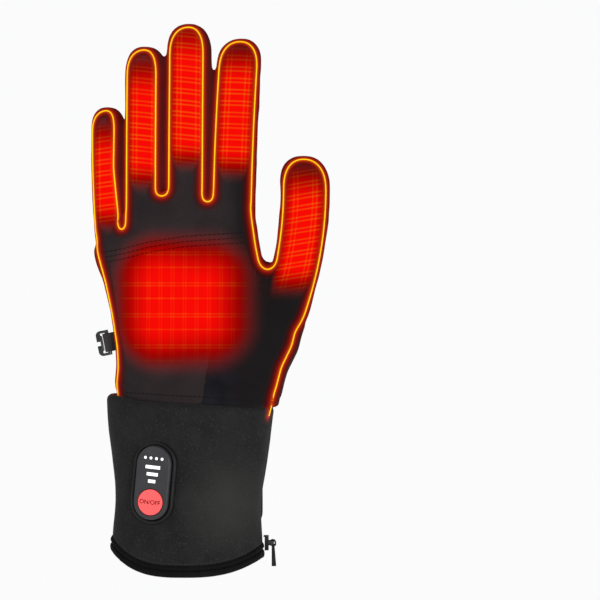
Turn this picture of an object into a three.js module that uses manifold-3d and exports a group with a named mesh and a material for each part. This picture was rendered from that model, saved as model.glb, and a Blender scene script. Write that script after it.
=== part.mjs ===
// Heated glove for the left hand, standing as it does when a hand fills it.
//
// Millimetres. +Z runs from the wrist to the fingertips, +X towards the thumb, and the back of the hand
// faces -Y. The origin is the middle of the cuff's mouth, where the wrist goes in.
//
// The hand is a hollow shell cut along its seams: a back panel, a gripping palm panel, the two thumb
// panels, and the side strips and fourchettes that run round the fingers. A padded cuff is sewn to its
// hem. It carries the control pod, the zipped hem, the bound slit with its pleat, and the wrist strap.
// A heating wire follows the seam round every finger on the back and on the palm, and a webbing tab on
// the little finger's side holds a clip.

import * as THREE from "three";
import { mergeVertices } from "three/addons/utils/BufferGeometryUtils.js";
import Module from "manifold-3d";

const wasm = await Module();
wasm.setup();

// Walls and clearances
const shellWall = 1.6; // stretch fabric with its fleece, over the hand
const cuffWall = 3.0; // padded sheet of the cuff
const seamGap = 0.35; // left between two pieces that are sewn edge to edge
const restGap = 0.35; // left between a piece and what it is seated on

// Hand
const palmLength = 122; // from the hem up to the crotch beside the middle finger
const handBreadth = 94; // across the knuckles
const handDepth = 36; // back to palm
const webDrop = 26; // how far the row of crotches falls away at the hand's two sides
const sectionPower = 2.3; // 2 is an ellipse, more is squarer

// Fingers. Each is placed beside its neighbour by their widths.
const fingerGap = 0.45;
const tipMargin = 2.6; // the side strip shows this far over each fingertip
const domeShare = 0.6; // the rounded tip's length, as a share of the finger's width

// Cuff
const cuffHeight = 98; // from the mouth to the seam with the hand, at the middle
const cuffWidth = 94; // at the seam with the hand
const cuffDepth = 62;
const hemRise = 14; // the hem is this much higher at the two sides than at the middle
const hemHeight = 8.5;
const hemThickness = 5.2;
const seamSlope = -0.05; // the seam with the hand falls towards the thumb

// Control pod on the back of the cuff
const podWidth = 19.8;
const podLength = 41;
const podThickness = 3.4;
const podOffset = 17.7; // from the glove's middle towards the little finger
const podHeight = 54.6; // of its middle above the mouth
const podLean = 5.2; // degrees
const pocketDepth = 1.8; // of the round pocket that the button sits in
const buttonDiameter = 14.2;
const buttonTravel = 0.6;
const buttonProud = 0.5;

// Slit in the palm side of the cuff, its binding and its pleat
const slitOffset = 22; // from the middle towards the little finger
const slitWidth = 12;
const slitBelow = 10; // its top, below the seam with the hand
const bindingRadius = 2.4;
const bindingFoot = 2.5; // its ends above the mouth
const bindingClear = 1; // from the binding to where the strap starts to rise
const archSteps = 6;
const pleatLap = 3; // its edges lie on the inside of the cuff this far past the binding
const pleatDepth = 8;
const pleatWall = 1.2;
const pleatTaper = 0.35; // the share of its depth that it loses towards its top

// Wrist strap across the slit
const strapWidth = 31; // without its binding
const strapWall = 2.4;
const strapBindingRadius = 2.1;
const strapHeight = 41; // of its middle above the mouth, at the glove's middle
const strapSlope = 0.07; // it falls towards the little finger
const strapRamp = 9; // over which it comes down to the cuff beside the slit
const strapCorner = 7; // radius of the corners of its free end
const strapReach = 37.2; // its free end, from the glove's middle towards the thumb

// Zip slider and pull at the thumb's end of the hem
const sliderLength = 8;
const sliderWidth = 6.6;
const cheek = 1.1; // thickness of the two ears that hold the bridge
const sliderThickness = 1.8;
const sliderFoot = 1; // how far its back is cut to the hem
const earHeight = 2.4;
const bridgeRadius = 0.7;
const bridgeStandoff = 2.3; // the bridge's axis from the slider's face
const pullLength = 13;
const pullWidth = 3.6;
const pullThickness = 1.2;
const pullEyeClearance = 0.45;
const pullEyeWall = 0.8;

// Webbing tab and clip on the little finger's side
const tabUp = 34; // above the cuff
const tabWidth = 10.5;
const tabReach = 3.6; // from the hand's side to the bar of the clip
const webbingWall = 1.1;
const tabRoot = 3; // run on into the hand, and cut to it
const clipLength = 6.2; // from the bar to the tips of the hook
const clipThickness = 2.4;
const clipCorner = 2.6;
const clipArm = 1.5; // width of the arms either side of the webbing
const clipBarRadius = 1.1;
const clipNotch = 2.3;
const notchDepth = 2;
const slotStep = 0.9; // the slot for the webbing is this much longer beside its arms
const slotShoulder = 1;
const slotSlope = 0.6;
const clipLean = 11; // degrees

// Heating wire
const wireRadius = 0.55;
const wireStandoff = 1.3; // of its axis from the fabric
const wireRest = 0.1;
const wireClear = 0.75; // between two stations its axis keeps this far out of the fabric
const wireDip = 1.2; // its lowest point between two fingers, below the crotch of the seam

const FAR = 90; // beyond every surface, for cutting solids
const radians = THREE.MathUtils.degToRad;

// Solids

// A closed BufferGeometry as a manifold-3d solid.
function solid(geometry, matrix = new THREE.Matrix4()) {
  const bare = new THREE.BufferGeometry();
  const source = geometry.index ? geometry.toNonIndexed() : geometry;
  bare.setAttribute("position", source.getAttribute("position").clone());
  bare.applyMatrix4(matrix);
  const merged = mergeVertices(bare, 1e-4);
  return new wasm.Manifold(
    new wasm.Mesh({
      numProp: 3,
      vertProperties: merged.attributes.position.array,
      triVerts: new Uint32Array(merged.index.array),
    }),
  );
}

// A closed solid through rings of points. Each ring runs anticlockwise as seen from the last ring. The two
// ends are closed by a ladder between point j and point first - j of the ring.
function loft(rings, first = 0) {
  const count = rings[0].length;
  const lastRow = (rings.length - 1) * count;
  const faces = [];
  for (let j = 0; j < count; j++) {
    const k = (j + 1) % count;
    for (let row = 0; row < lastRow; row += count) {
      faces.push(row + j, row + k, row + count + k);
      faces.push(row + j, row + count + k, row + count + j);
    }
  }
  const opposite = (j) => (count + first - j) % count;
  for (let j = 0; j < count / 2; j++) {
    for (const [a, b, c] of [[j, j + 1, opposite(j + 1)], [j, opposite(j + 1), opposite(j)]]) {
      if (a === b || b === c || c === a) continue;
      faces.push(c, b, a, lastRow + a, lastRow + b, lastRow + c);
    }
  }
  const geometry = new THREE.BufferGeometry();
  geometry.setFromPoints(rings.flat());
  geometry.setIndex(faces);
  return solid(geometry);
}

const joined = (solids) => solids.reduce((sum, s) => sum.add(s));
const cut = (whole, cutters) => cutters.reduce((rest, s) => rest.subtract(s), whole);

// A smooth route with one step at each of its points.
class Route extends THREE.CatmullRomCurve3 {
  getPointAt(share, target) {
    return this.getPoint(share, target);
  }
  getTangentAt(share, target) {
    return this.getTangent(share, target);
  }
}

// A round tube along points, closed at its ends.
function tube(points, radius, sides) {
  const shape = new THREE.Shape().absarc(0, 0, radius, 0, 2 * Math.PI, false);
  const options = { steps: points.length - 1, extrudePath: new Route(points, false, "centripetal") };
  return solid(new THREE.ExtrudeGeometry(new THREE.Shape(shape.getPoints(sides).slice(0, sides)), options));
}

// A flat outline in the XZ plane, cut straight through along Y.
function prism(outline, yLow = -FAR, yHigh = FAR) {
  const shape = new THREE.Shape(outline.map(([x, z]) => new THREE.Vector2(x, z)));
  const geometry = new THREE.ExtrudeGeometry(shape, { depth: yHigh - yLow, bevelEnabled: false });
  const matrix = new THREE.Matrix4().makeRotationX(Math.PI / 2);
  matrix.premultiply(new THREE.Matrix4().makeTranslation(0, yHigh, 0));
  return solid(geometry, matrix);
}

// The points of an open line moved sideways to their left, as walked.
function moved(line, distance) {
  return line.map(([x, z], i) => {
    const [x0, z0] = line[Math.max(i - 1, 0)];
    const [x1, z1] = line[Math.min(i + 1, line.length - 1)];
    const length = Math.hypot(x1 - x0, z1 - z0);
    return [x - (distance * (z1 - z0)) / length, z + (distance * (x1 - x0)) / length];
  });
}

// A value from table rows, straight between them.
function between(rows, key, at, value) {
  const last = rows.length - 1;
  let i = rows.findIndex((row) => row[key] >= value);
  i = i < 0 ? last : Math.max(i, 1);
  const [low, high] = [rows[i - 1], rows[i]];
  const share = THREE.MathUtils.clamp((value - low[key]) / (high[key] - low[key]), 0, 1);
  return low[at] + (high[at] - low[at]) * share;
}

// Half the depth of a rounded section at a share of its half width.
const sectionDepth = (share) =>
  Math.pow(Math.max(0, 1 - Math.pow(Math.min(Math.abs(share), 1), sectionPower)), 1 / sectionPower);

// A rounded section's outline: count points, each x from -1 to 1 and y from -1 to 1.
function roundedOutline(count, power = sectionPower) {
  const outline = [];
  for (let j = 0; j < count; j++) {
    const angle = (2 * Math.PI * j) / count;
    const x = Math.sign(Math.cos(angle)) * Math.pow(Math.abs(Math.cos(angle)), 2 / power);
    const y = Math.sign(Math.sin(angle)) * Math.pow(Math.abs(Math.sin(angle)), 2 / power);
    outline.push([x, y]);
  }
  return outline;
}

// The palm

// up is a share of palmLength above the hem, left and right of handBreadth, back and front of handDepth,
// and drop is the share of webDrop that the section takes.
const palmRows = [
  { up: 0.0, left: -0.425, right: 0.536, back: 0.78, front: 0.78, drop: 0 },
  { up: 0.07, left: -0.44, right: 0.566, back: 0.73, front: 0.75, drop: 0 },
  { up: 0.16, left: -0.43, right: 0.596, back: 0.66, front: 0.71, drop: 0 },
  { up: 0.26, left: -0.438, right: 0.652, back: 0.6, front: 0.68, drop: 0 },
  { up: 0.4, left: -0.468, right: 0.675, back: 0.53, front: 0.63, drop: 0.03 },
  { up: 0.55, left: -0.508, right: 0.52, back: 0.48, front: 0.57, drop: 0.1 },
  { up: 0.69, left: -0.557, right: 0.455, back: 0.45, front: 0.51, drop: 0.25 },
  { up: 0.83, left: -0.57, right: 0.42, back: 0.41, front: 0.45, drop: 0.5 },
  { up: 0.93, left: -0.56, right: 0.408, back: 0.35, front: 0.39, drop: 0.8 },
  { up: 1.0, left: -0.54, right: 0.385, back: 0.27, front: 0.31, drop: 1 },
];
const palmSides = 18;
const hollowRun = 4;
const webMiddle = 0.03; // of handBreadth, where the row of crotches is highest

const seamHeight = (x) => cuffHeight + seamSlope * x;
const webFall = (x) => -webDrop * Math.pow((x / handBreadth - webMiddle) / 0.5, 2);

// The palm's section at a share up its length: middle, half width and the half depths.
function palmSection(up) {
  const left = between(palmRows, "up", "left", up) * handBreadth;
  const right = between(palmRows, "up", "right", up) * handBreadth;
  return {
    middle: (left + right) / 2,
    half: (right - left) / 2,
    back: between(palmRows, "up", "back", up) * handDepth,
    front: between(palmRows, "up", "front", up) * handDepth,
    drop: between(palmRows, "up", "drop", up),
  };
}

const palmHeight = (x, up) =>
  seamHeight(x) + (1 - up) * seamGap + up * palmLength + palmSection(up).drop * webFall(x);

// How far up the palm a point of its surface lies.
function palmShare(x, z) {
  let [low, high] = [0, 1];
  for (let i = 0; i < 20; i++) {
    const middle = (low + high) / 2;
    if (palmHeight(x, middle) < z) low = middle;
    else high = middle;
  }
  return (low + high) / 2;
}

function palmSolid(inset) {
  const outline = roundedOutline(palmSides);
  const rings = palmRows.map(({ up }) => {
    const s = palmSection(up);
    return outline.map(([u, v]) => {
      const x = s.middle + u * (s.half - inset);
      const y = v * ((v < 0 ? s.back : s.front) - inset);
      return new THREE.Vector3(x, y, palmHeight(x, up) - up * inset);
    });
  });
  // The hollow runs out through the hem.
  if (inset) rings.unshift(rings[0].map((p) => new THREE.Vector3(p.x, p.y, p.z - hollowRun)));
  return loft(rings);
}

// Fingers and thumb

// rootUp is a share of palmLength above the hem, and so is crotchUp, the crotch on the thumb's side. rootY
// is the depth of the root, root the share of its full size there, and curl how far the tip comes towards
// the palm. tuck moves the root sideways, spread the tip and bow the middle. slim is the share by which
// the root is narrower. back and palm hold the seam's margins from the left and right silhouette, and
// over the opening, a share of the length, the right margin grows from nothing.
const digits = {
  pinky: {
    width: 19.4, depth: 18.6, length: 89.5, rootUp: 0.635, tuck: 2, slim: 0.22, opening: 0.6, spread: 0.2,
    bow: 0, rootY: 5, root: 0.6, curl: 9, crotchUp: 0.795, back: [1.3, 5.6], palm: [4.6, 2.6],
  },
  ring: {
    width: 23.2, depth: 20.6, length: 112, rootUp: 0.727, tuck: 0, slim: 0, opening: 0, spread: 0, bow: 0,
    rootY: 0.8, root: 1, curl: 8, crotchUp: 0.95, back: [1.8, 5.2], palm: [4.6, 2.6],
  },
  middle: {
    width: 25.2, depth: 21.4, length: 124.5, rootUp: 0.727, tuck: 0, slim: 0, opening: 0, spread: 0.3, bow: 0,
    rootY: -1.2, root: 1, curl: 8, crotchUp: 0.923, back: [2.0, 4.6], palm: [4.6, 2.6],
  },
  index: {
    width: 25.6, depth: 21.4, length: 116.5, rootUp: 0.727, tuck: 0, slim: 0, opening: 0, spread: 3.4,
    bow: -0.9, rootY: 0, root: 1, curl: 8, crotchUp: 0.615, back: [2.0, 2.6], palm: [4.6, 2.6],
  },
  thumb: {
    width: 28, depth: 24, length: 116, rootUp: 0.19, tuck: 0, slim: 0, opening: 0, spread: 0, bow: 8.2,
    rootY: 5, root: 0.55, curl: 7, back: [2.0, 2.4], palm: [3.4, 3.2],
  },
};
const digitSides = 12;
const rootSwell = 0.16;
const webShare = 0.25; // how far up a finger it leaves the web
const rootShare = 0.18; // of a digit's length, over which it reaches its full size
const thumbRoot = 0.457; // of handBreadth, from the middle
const thumbTip = 0.687;

const besides = (a, b) => (a.width + b.width) / 2 + fingerGap;
digits.middle.x = 0;
digits.ring.x = digits.middle.x - besides(digits.middle, digits.ring);
digits.pinky.x = digits.ring.x - besides(digits.ring, digits.pinky);
digits.index.x = digits.middle.x + besides(digits.middle, digits.index);
digits.thumb.x = handBreadth * THREE.MathUtils.lerp(thumbRoot, thumbTip, webShare);
digits.thumb.spread = handBreadth * (thumbTip - thumbRoot) * (1 - webShare);
for (const digit of Object.values(digits)) {
  digit.rootZ = cuffHeight + palmLength * digit.rootUp;
  digit.tipZ = digit.rootZ + digit.length;
}
const fingers = [digits.pinky, digits.ring, digits.middle, digits.index];
const all = [...fingers, digits.thumb];

// The rounding of a finger's end: 1 along the finger, falling to 0 at the tip.
function dome(digit, z, tipZ = digit.tipZ) {
  const length = domeShare * digit.width;
  const share = THREE.MathUtils.clamp((z - (tipZ - length)) / length, 0, 1);
  return Math.pow(1 - Math.pow(share, sectionPower), 1 / sectionPower);
}

// A digit's section at a height: its middle and half sizes. It is a little deeper near its root.
function digitSection(digit, z) {
  const t = THREE.MathUtils.clamp((z - digit.rootZ) / digit.length, 0, 1);
  const belowWeb = Math.max(0, 1 - t / webShare);
  const slimmed = digit.slim * (1 - t) * (1 - t);
  const taper = Math.min(1, digit.root + ((1 - digit.root) * t) / rootShare);
  return {
    middle:
      digit.x +
      (digit.spread * (t - webShare)) / (1 - webShare) +
      4 * digit.bow * t * (1 - t) +
      digit.tuck * belowWeb +
      (digit.width / 2) * slimmed,
    y: digit.rootY + digit.curl * t * t,
    half: (digit.width / 2) * (taper - slimmed),
    depth: (digit.depth / 2) * taper * (1 + rootSwell * belowWeb),
  };
}

// Heights of the rings of a digit: along its length, then closer together round its tip.
const alongShares = [0, rootShare, 0.5];
const domeShares = [0, 0.5, 0.82, 0.97];
function digitHeights(digit, tipZ = digit.tipZ) {
  const domeLength = domeShare * digit.width;
  const straight = digit.tipZ - domeLength - digit.rootZ;
  return [
    ...alongShares.map((share) => digit.rootZ + share * straight),
    ...domeShares.map((share) => tipZ - domeLength + share * domeLength),
  ];
}

function digitSolid(digit, inset) {
  const outline = roundedOutline(digitSides);
  const tipZ = digit.tipZ - inset;
  return loft(
    digitHeights(digit, tipZ).map((z) => {
      const s = digitSection(digit, z);
      const round = dome(digit, z, tipZ);
      const [half, depth] = [(s.half - inset) * round, (s.depth - inset) * round];
      return outline.map(([u, v]) => new THREE.Vector3(s.middle + u * half, s.y + v * depth, z));
    }),
  );
}

const handSolid = (inset) => joined([palmSolid(inset), ...all.map((digit) => digitSolid(digit, inset))]);

// The depth of the outer fabric at a place. side is -1 on the back of the hand and 1 on the palm. A place
// just past a section's edge takes the edge's depth.
const overEdge = 1.25;
const edgeDepth = (share) => sectionDepth(Math.min(Math.abs(share), 0.98));
function skin(x, z, side) {
  const found = [];
  for (const digit of all) {
    const s = digitSection(digit, z);
    const round = dome(digit, z);
    const share = (x - s.middle) / (s.half * round);
    if (z > digit.rootZ && z < digit.tipZ && Math.abs(share) < overEdge)
      found.push(s.y + side * s.depth * round * edgeDepth(share));
  }
  const up = palmShare(x, z);
  const s = palmSection(up);
  const share = (x - s.middle) / s.half;
  if (Math.abs(share) < overEdge && up < 0.999)
    found.push(side * (side < 0 ? s.back : s.front) * edgeDepth(share));
  return side < 0 ? Math.min(...found) : Math.max(...found);
}

// Seam lines. A face is the middle of the back or the palm, which its seam divides from the side strips.

const sideMargins = { back: [1.7, 3.9], palm: [5.0, 4.0] }; // little finger's side, thumb's side

// The left and right seam of a digit at a height, grown by margin.
function digitSeam(digit, view, z, margin = 0) {
  const s = digitSection(digit, z);
  const round = dome(digit, z, digit.tipZ - tipMargin + margin);
  const [left, right] = digit[view];
  const t = (z - digit.rootZ) / digit.length;
  const opened = view === "palm" || t >= digit.opening ? right : (right * Math.max(t, 0)) / digit.opening;
  return [s.middle - (s.half - left + margin) * round, s.middle + (s.half - opened + margin) * round];
}

function palmSeam(view, up, margin = 0) {
  const s = palmSection(up);
  const [left, right] = sideMargins[view];
  return [s.middle - s.half + left - margin, s.middle + s.half - right + margin];
}

const webStart = 0.85; // share of palmLength where the palm's own sides end
const crotchHeight = (digit) => cuffHeight + palmLength * digit.crotchUp;

const facesMeet = 0.2; // depth inside the palm where the two views' cutting solids meet

// What the seam of one view encloses, as a cutting solid on that side of the hand.
function faceSolid(view, margin) {
  const side = view === "back" ? -1 : 1;
  const block = (left, right, y, z) => {
    const [low, high] = side < 0 ? [-FAR, y] : [y, FAR];
    return [[right, low], [right, high], [left, high], [left, low]].map(
      ([x, depth]) => new THREE.Vector3(x, depth, z),
    );
  };
  const strips = all.map((digit) =>
    loft(
      digitHeights(digit, digit.tipZ - tipMargin + margin).map((z) => {
        const [left, right] = digitSeam(digit, view, z, margin);
        return block(left, right, digitSection(digit, z).y, z);
      }),
    ),
  );
  // The palm's part: up its little finger's side, over the crotches, and down beside the index finger.
  const rows = palmRows.filter(({ up }) => up <= webStart);
  const left = rows.map(({ up }) => [palmSeam(view, up, margin)[0], cuffHeight + palmLength * up]);
  const right = rows.map(({ up }) => [palmSeam(view, up, margin)[1], cuffHeight + palmLength * up]);
  const steps = fingers.slice(0, 3).flatMap((digit, i) => {
    const top = crotchHeight(digit) + margin;
    return [[digitSection(digit, top).middle, top], [digitSection(fingers[i + 1], top).middle, top]];
  });
  const low = cuffHeight - FAR;
  const outline = [[left[0][0], low], ...left, ...steps, ...right.reverse(), [right.at(-1)[0], low]];
  outline.reverse();
  const middle = prism(outline, side < 0 ? -FAR : facesMeet, side < 0 ? facesMeet : FAR);
  return joined([middle, ...strips]);
}

// The line that divides the thumb's panel from the rest of its view, from the crotch to the hem or to the
// thumb's edge. across is a share of handBreadth and up of palmLength.
const thumbSeams = {
  back: [
    [0.47, 0.9], [0.455, 0.66], [0.4, 0.585], [0.4, 0.41], [0.33, 0.36], [0.22, 0.335], [0.15, 0.28],
    [0.13, 0.2], [0.077, -0.04],
  ],
  palm: [
    [0.47, 0.9], [0.455, 0.66], [0.41, 0.585], [0.4, 0.49], [0.42, 0.38], [0.49, 0.27], [0.57, 0.18],
    [0.72, 0.1],
  ],
};

function thumbRegion(view, margin) {
  const line = thumbSeams[view].map(([across, up]) => [across * handBreadth, cuffHeight + up * palmLength]);
  const edge = moved(line, -margin);
  const foot = edge.at(-1);
  const outline = [...edge, [foot[0], foot[1] - FAR], [2 * FAR, foot[1] - FAR], [2 * FAR, edge[0][1] + FAR]];
  outline.push([edge[0][0], edge[0][1] + FAR]);
  return prism(outline);
}

// Hand panels

const shell = handSolid(0).subtract(handSolid(shellWall));

function panels(view, shellPart) {
  const face = shellPart.intersect(faceSolid(view, 0));
  return [face.subtract(thumbRegion(view, seamGap)), face.intersect(thumbRegion(view, 0))];
}
const [backPanel, thumbBack] = panels("back", shell);
const [palmPanel, thumbPalm] = panels("palm", shell.subtract(faceSolid("back", seamGap)));

// What is left between the two faces is one band round the hand. It is divided along each digit's middle,
// which it crosses only at the tip.
const band = cut(shell, [faceSolid("back", seamGap), faceSolid("palm", seamGap)]);

// A digit's middle, which runs in towards the glove's middle below the digit's root.
function middleLine(digit, sideways) {
  const line = [...digitHeights(digit), digit.tipZ + FAR].map((z) => [digitSection(digit, z).middle, z]);
  return [[digit.x / 4, cuffHeight - FAR], ...line].map(([x, z]) => [x + sideways, z]);
}

// The region between the middles of two digits that are side by side, or beyond the first or the last.
function stripRegion(left, right) {
  const half = seamGap / 2;
  const low = cuffHeight - FAR;
  const [leftEdge, rightEdge] = [left && middleLine(left, half), right && middleLine(right, -half)];
  const beyond = (sign, high) => [[sign * 2 * FAR, low], [sign * 2 * FAR, high]];
  const leftSide = leftEdge ?? beyond(-1, rightEdge.at(-1)[1]);
  const rightSide = rightEdge ?? beyond(1, leftEdge.at(-1)[1]);
  return prism([...rightSide, ...leftSide.reverse()]);
}
const stripNames = [
  "pinky_side_strip",
  "pinky_ring_fourchette",
  "ring_middle_fourchette",
  "middle_index_fourchette",
  "index_thumb_strip",
  "thumb_side_strip",
];
const strips = stripNames.map((_, i) => band.intersect(stripRegion(all[i - 1], all[i])));

// Heating wire: up the little finger's side, round each digit along its seam, and down the thumb's side.
// Its stations are shares of palmLength up the two sides, and shares of each run along a digit.
const leftRun = { from: 0.03, to: 0.64, step: 0.085 };
const rightRun = { from: 0.3, to: 0.02, step: 0.09 };
const digitFoot = { left: 0.67, right: 0.4 }; // where the outer digits' own runs begin
const wireShares = [0.03, 0.08, 0.36, 0.65, 0.9];
const tipShares = [0.25, 0.55, 0.78, 0.93];
const chordShares = [0.25, 0.5, 0.75];
const wireSides = 4;

// A digit's seam, or the palm's where the digit's root is still inside the palm's side.
function outerSeam(digit, view, z, place) {
  const onPalm = z < digit.rootZ + rootShare * digit.length;
  const outer = (digit === digits.pinky && !place) || (digit === digits.index && place);
  const onSide = palmSeam(view, (z - cuffHeight) / palmLength)[place];
  if (onPalm && outer) return onSide;
  const own = digitSeam(digit, view, z)[place];
  return onPalm && digit === digits.thumb && place ? Math.max(own, onSide) : own;
}

function wireLine(view) {
  const line = [];
  for (let up = leftRun.from; up < leftRun.to; up += leftRun.step)
    line.push([palmSeam(view, up)[0], cuffHeight + palmLength * up]);
  all.forEach((digit, i) => {
    const apexZ = digit.tipZ - tipMargin;
    const foot = i ? crotchHeight(all[i - 1]) : cuffHeight + palmLength * digitFoot.left;
    const far = i < all.length - 1 ? crotchHeight(digit) : cuffHeight + palmLength * digitFoot.right;
    const shoulder = apexZ - domeShare * digit.width;
    const roundTip = tipShares.map((share) => shoulder + share * (apexZ - shoulder));
    const up = [...wireShares.map((share) => foot + share * (shoulder - foot)), ...roundTip];
    const down = [...wireShares.map((share) => far + share * (shoulder - far)), ...roundTip].reverse();
    for (const z of up) line.push([outerSeam(digit, view, z, 0), z]);
    line.push([digitSection(digit, apexZ).middle + (digit[view][0] - digit[view][1]) / 2, apexZ]);
    for (const z of down) line.push([outerSeam(digit, view, z, 1), z]);
    if (i < all.length - 1) {
      const next = digitSeam(all[i + 1], view, far)[0];
      line.push([(outerSeam(digit, view, far, 1) + next) / 2, far - wireDip]);
    }
  });
  for (let up = rightRun.from; up > rightRun.to; up -= rightRun.step)
    line.push([palmSeam(view, up)[1], cuffHeight + palmLength * up]);
  return line;
}

// Each station stands out of the fabric by wireStandoff, or by more where the fabric bulges before the next.
function wire(view) {
  const side = view === "back" ? -1 : 1;
  const line = wireLine(view);
  const outAt = (x, z) => side * skin(x, z, side);
  const out = line.map(([x, z]) => outAt(x, z) + wireStandoff);
  for (let i = 1; i < line.length; i++) {
    const short = chordShares.map((share) => {
      const [x, z] = [0, 1].map((k) => THREE.MathUtils.lerp(line[i - 1][k], line[i][k], share));
      return outAt(x, z) + wireClear - THREE.MathUtils.lerp(out[i - 1], out[i], share);
    });
    const lift = Math.max(0, ...short);
    out[i - 1] += lift;
    out[i] += lift;
  }
  const points = line.map(([x, z], i) => new THREE.Vector3(x, side * out[i], z));
  return tube(points, wireRadius, wireSides).subtract(handSolid(-wireRest));
}

// Cuff

// up is a share of the height from hem to seam. width and depth are shares of cuffWidth and cuffDepth, and
// shift is a share of cuffWidth towards the thumb.
const cuffRows = [
  { up: 0, width: 0.895, depth: 0.98, shift: -0.006 },
  { up: 0.22, width: 0.87, depth: 0.95, shift: -0.002 },
  { up: 0.36, width: 0.87, depth: 0.94, shift: 0.001 },
  { up: 0.52, width: 0.905, depth: 0.95, shift: 0.007 },
  { up: 0.8, width: 0.962, depth: 0.985, shift: 0.012 },
  { up: 1, width: 0.99, depth: 0.985, shift: 0.018 },
];
const cuffSides = 28;
const cuffPower = 2.15;

const hemLow = (angle) => hemRise * Math.pow(Math.abs(Math.cos(angle)), 3);

// A point of the cuff at an angle round it and a share up it, out by a distance along its outline.
function cuffPoint(angle, up, out = 0) {
  const width = (between(cuffRows, "up", "width", up) * cuffWidth) / 2 + out;
  const depth = (between(cuffRows, "up", "depth", up) * cuffDepth) / 2 + out;
  const shift = between(cuffRows, "up", "shift", up) * cuffWidth;
  const [c, s] = [Math.cos(angle), Math.sin(angle)];
  const x = shift + width * Math.sign(c) * Math.pow(Math.abs(c), 2 / cuffPower);
  const y = depth * Math.sign(s) * Math.pow(Math.abs(s), 2 / cuffPower);
  const low = hemLow(angle) + hemHeight + seamGap;
  return new THREE.Vector3(x, y, low + up * (seamHeight(x) - low));
}

// The cuff's solid out to a distance, run on past its ends by more.
function cuffSolid(out, more = 0) {
  const rings = cuffRows.map(({ up }) =>
    Array.from({ length: cuffSides }, (_, j) => cuffPoint((2 * Math.PI * j) / cuffSides, up, out)),
  );
  if (more) {
    rings.unshift(rings[0].map((p) => new THREE.Vector3(p.x, p.y, p.z - more)));
    rings.push(rings.at(-1).map((p) => new THREE.Vector3(p.x, p.y, p.z + more)));
  }
  return loft(rings);
}

// The angle and share of the cuff where it has a given x and z, on the palm's side.
function cuffPlace(x, z, side = 1) {
  let [angle, up] = [(side * Math.PI) / 2, 0.5];
  for (let i = 0; i < 12; i++) {
    const low = hemLow(angle) + hemHeight + seamGap;
    up = THREE.MathUtils.clamp((z - low) / (seamHeight(x) - low), 0, 1);
    const half = (between(cuffRows, "up", "width", up) * cuffWidth) / 2;
    const share = (x - between(cuffRows, "up", "shift", up) * cuffWidth) / half;
    const c = Math.sign(share) * Math.pow(Math.min(Math.abs(share), 0.9999), cuffPower / 2);
    angle = side * Math.acos(c);
  }
  return { angle, up };
}

// The point at a place on the cuff's palm side, out along its outline.
function cuffSkin(x, z, out, side = 1) {
  const { angle, up } = cuffPlace(x, z, side);
  const point = cuffPoint(angle, up, out);
  point.z = z;
  return point;
}

// An arch in the XZ plane: the slit's outline, grown by margin.
const slitSteps = 8;
const springing = cuffHeight - slitBelow - slitWidth / 2; // where the slit's arch begins
function slitOutline(margin) {
  const half = slitWidth / 2 + margin;
  const outline = [[-slitOffset - half, -FAR], [-slitOffset + half, -FAR]];
  for (let i = 0; i <= slitSteps; i++) {
    const angle = (Math.PI * i) / slitSteps;
    outline.push([-slitOffset + half * Math.cos(angle), springing + half * Math.sin(angle)]);
  }
  return outline;
}

const slitCut = prism(slitOutline(bindingRadius + restGap), 0, FAR);

// A wall that runs all the way round the cuff. sectionAt gives its closed outline at an angle, up the
// outside and down the inside.
function wallRound(sectionAt) {
  const sections = Array.from({ length: cuffSides }, (_, i) => sectionAt((2 * Math.PI * i) / cuffSides));
  const count = sections[0].length;
  const faces = [];
  for (let i = 0; i < cuffSides; i++) {
    const [here, next] = [i * count, ((i + 1) % cuffSides) * count];
    for (let j = 0; j < count; j++) {
      const k = (j + 1) % count;
      faces.push(here + j, next + j, next + k, here + j, next + k, here + k);
    }
  }
  const geometry = new THREE.BufferGeometry();
  geometry.setFromPoints(sections.flat());
  geometry.setIndex(faces);
  return solid(geometry);
}

const cuff = wallRound((angle) => [
  ...cuffRows.map(({ up }) => cuffPoint(angle, up)),
  ...cuffRows.map(({ up }) => cuffPoint(angle, up, -cuffWall)).reverse(),
]).subtract(slitCut);

// Binding of the slit: up its thumb's side, over the arch and down the other side.
const bindingSides = 9;
function slitBinding() {
  const half = slitWidth / 2;
  const sideZ = [0, 0.2, 0.4, 0.6, 0.8].map((share) => bindingFoot + share * (springing - bindingFoot));
  const arch = Array.from({ length: archSteps + 1 }, (_, i) => (Math.PI * i) / archSteps);
  const line = [
    ...sideZ.map((z) => [half, z]),
    ...arch.map((angle) => [half * Math.cos(angle), springing + half * Math.sin(angle)]),
    ...sideZ.reverse().map((z) => [-half, z]),
  ];
  const points = line.map(([across, z]) => {
    const x = across - slitOffset;
    return cuffSkin(x, z, -cuffWall / 2).setX(x);
  });
  return tube(points, bindingRadius, bindingSides);
}

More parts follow.
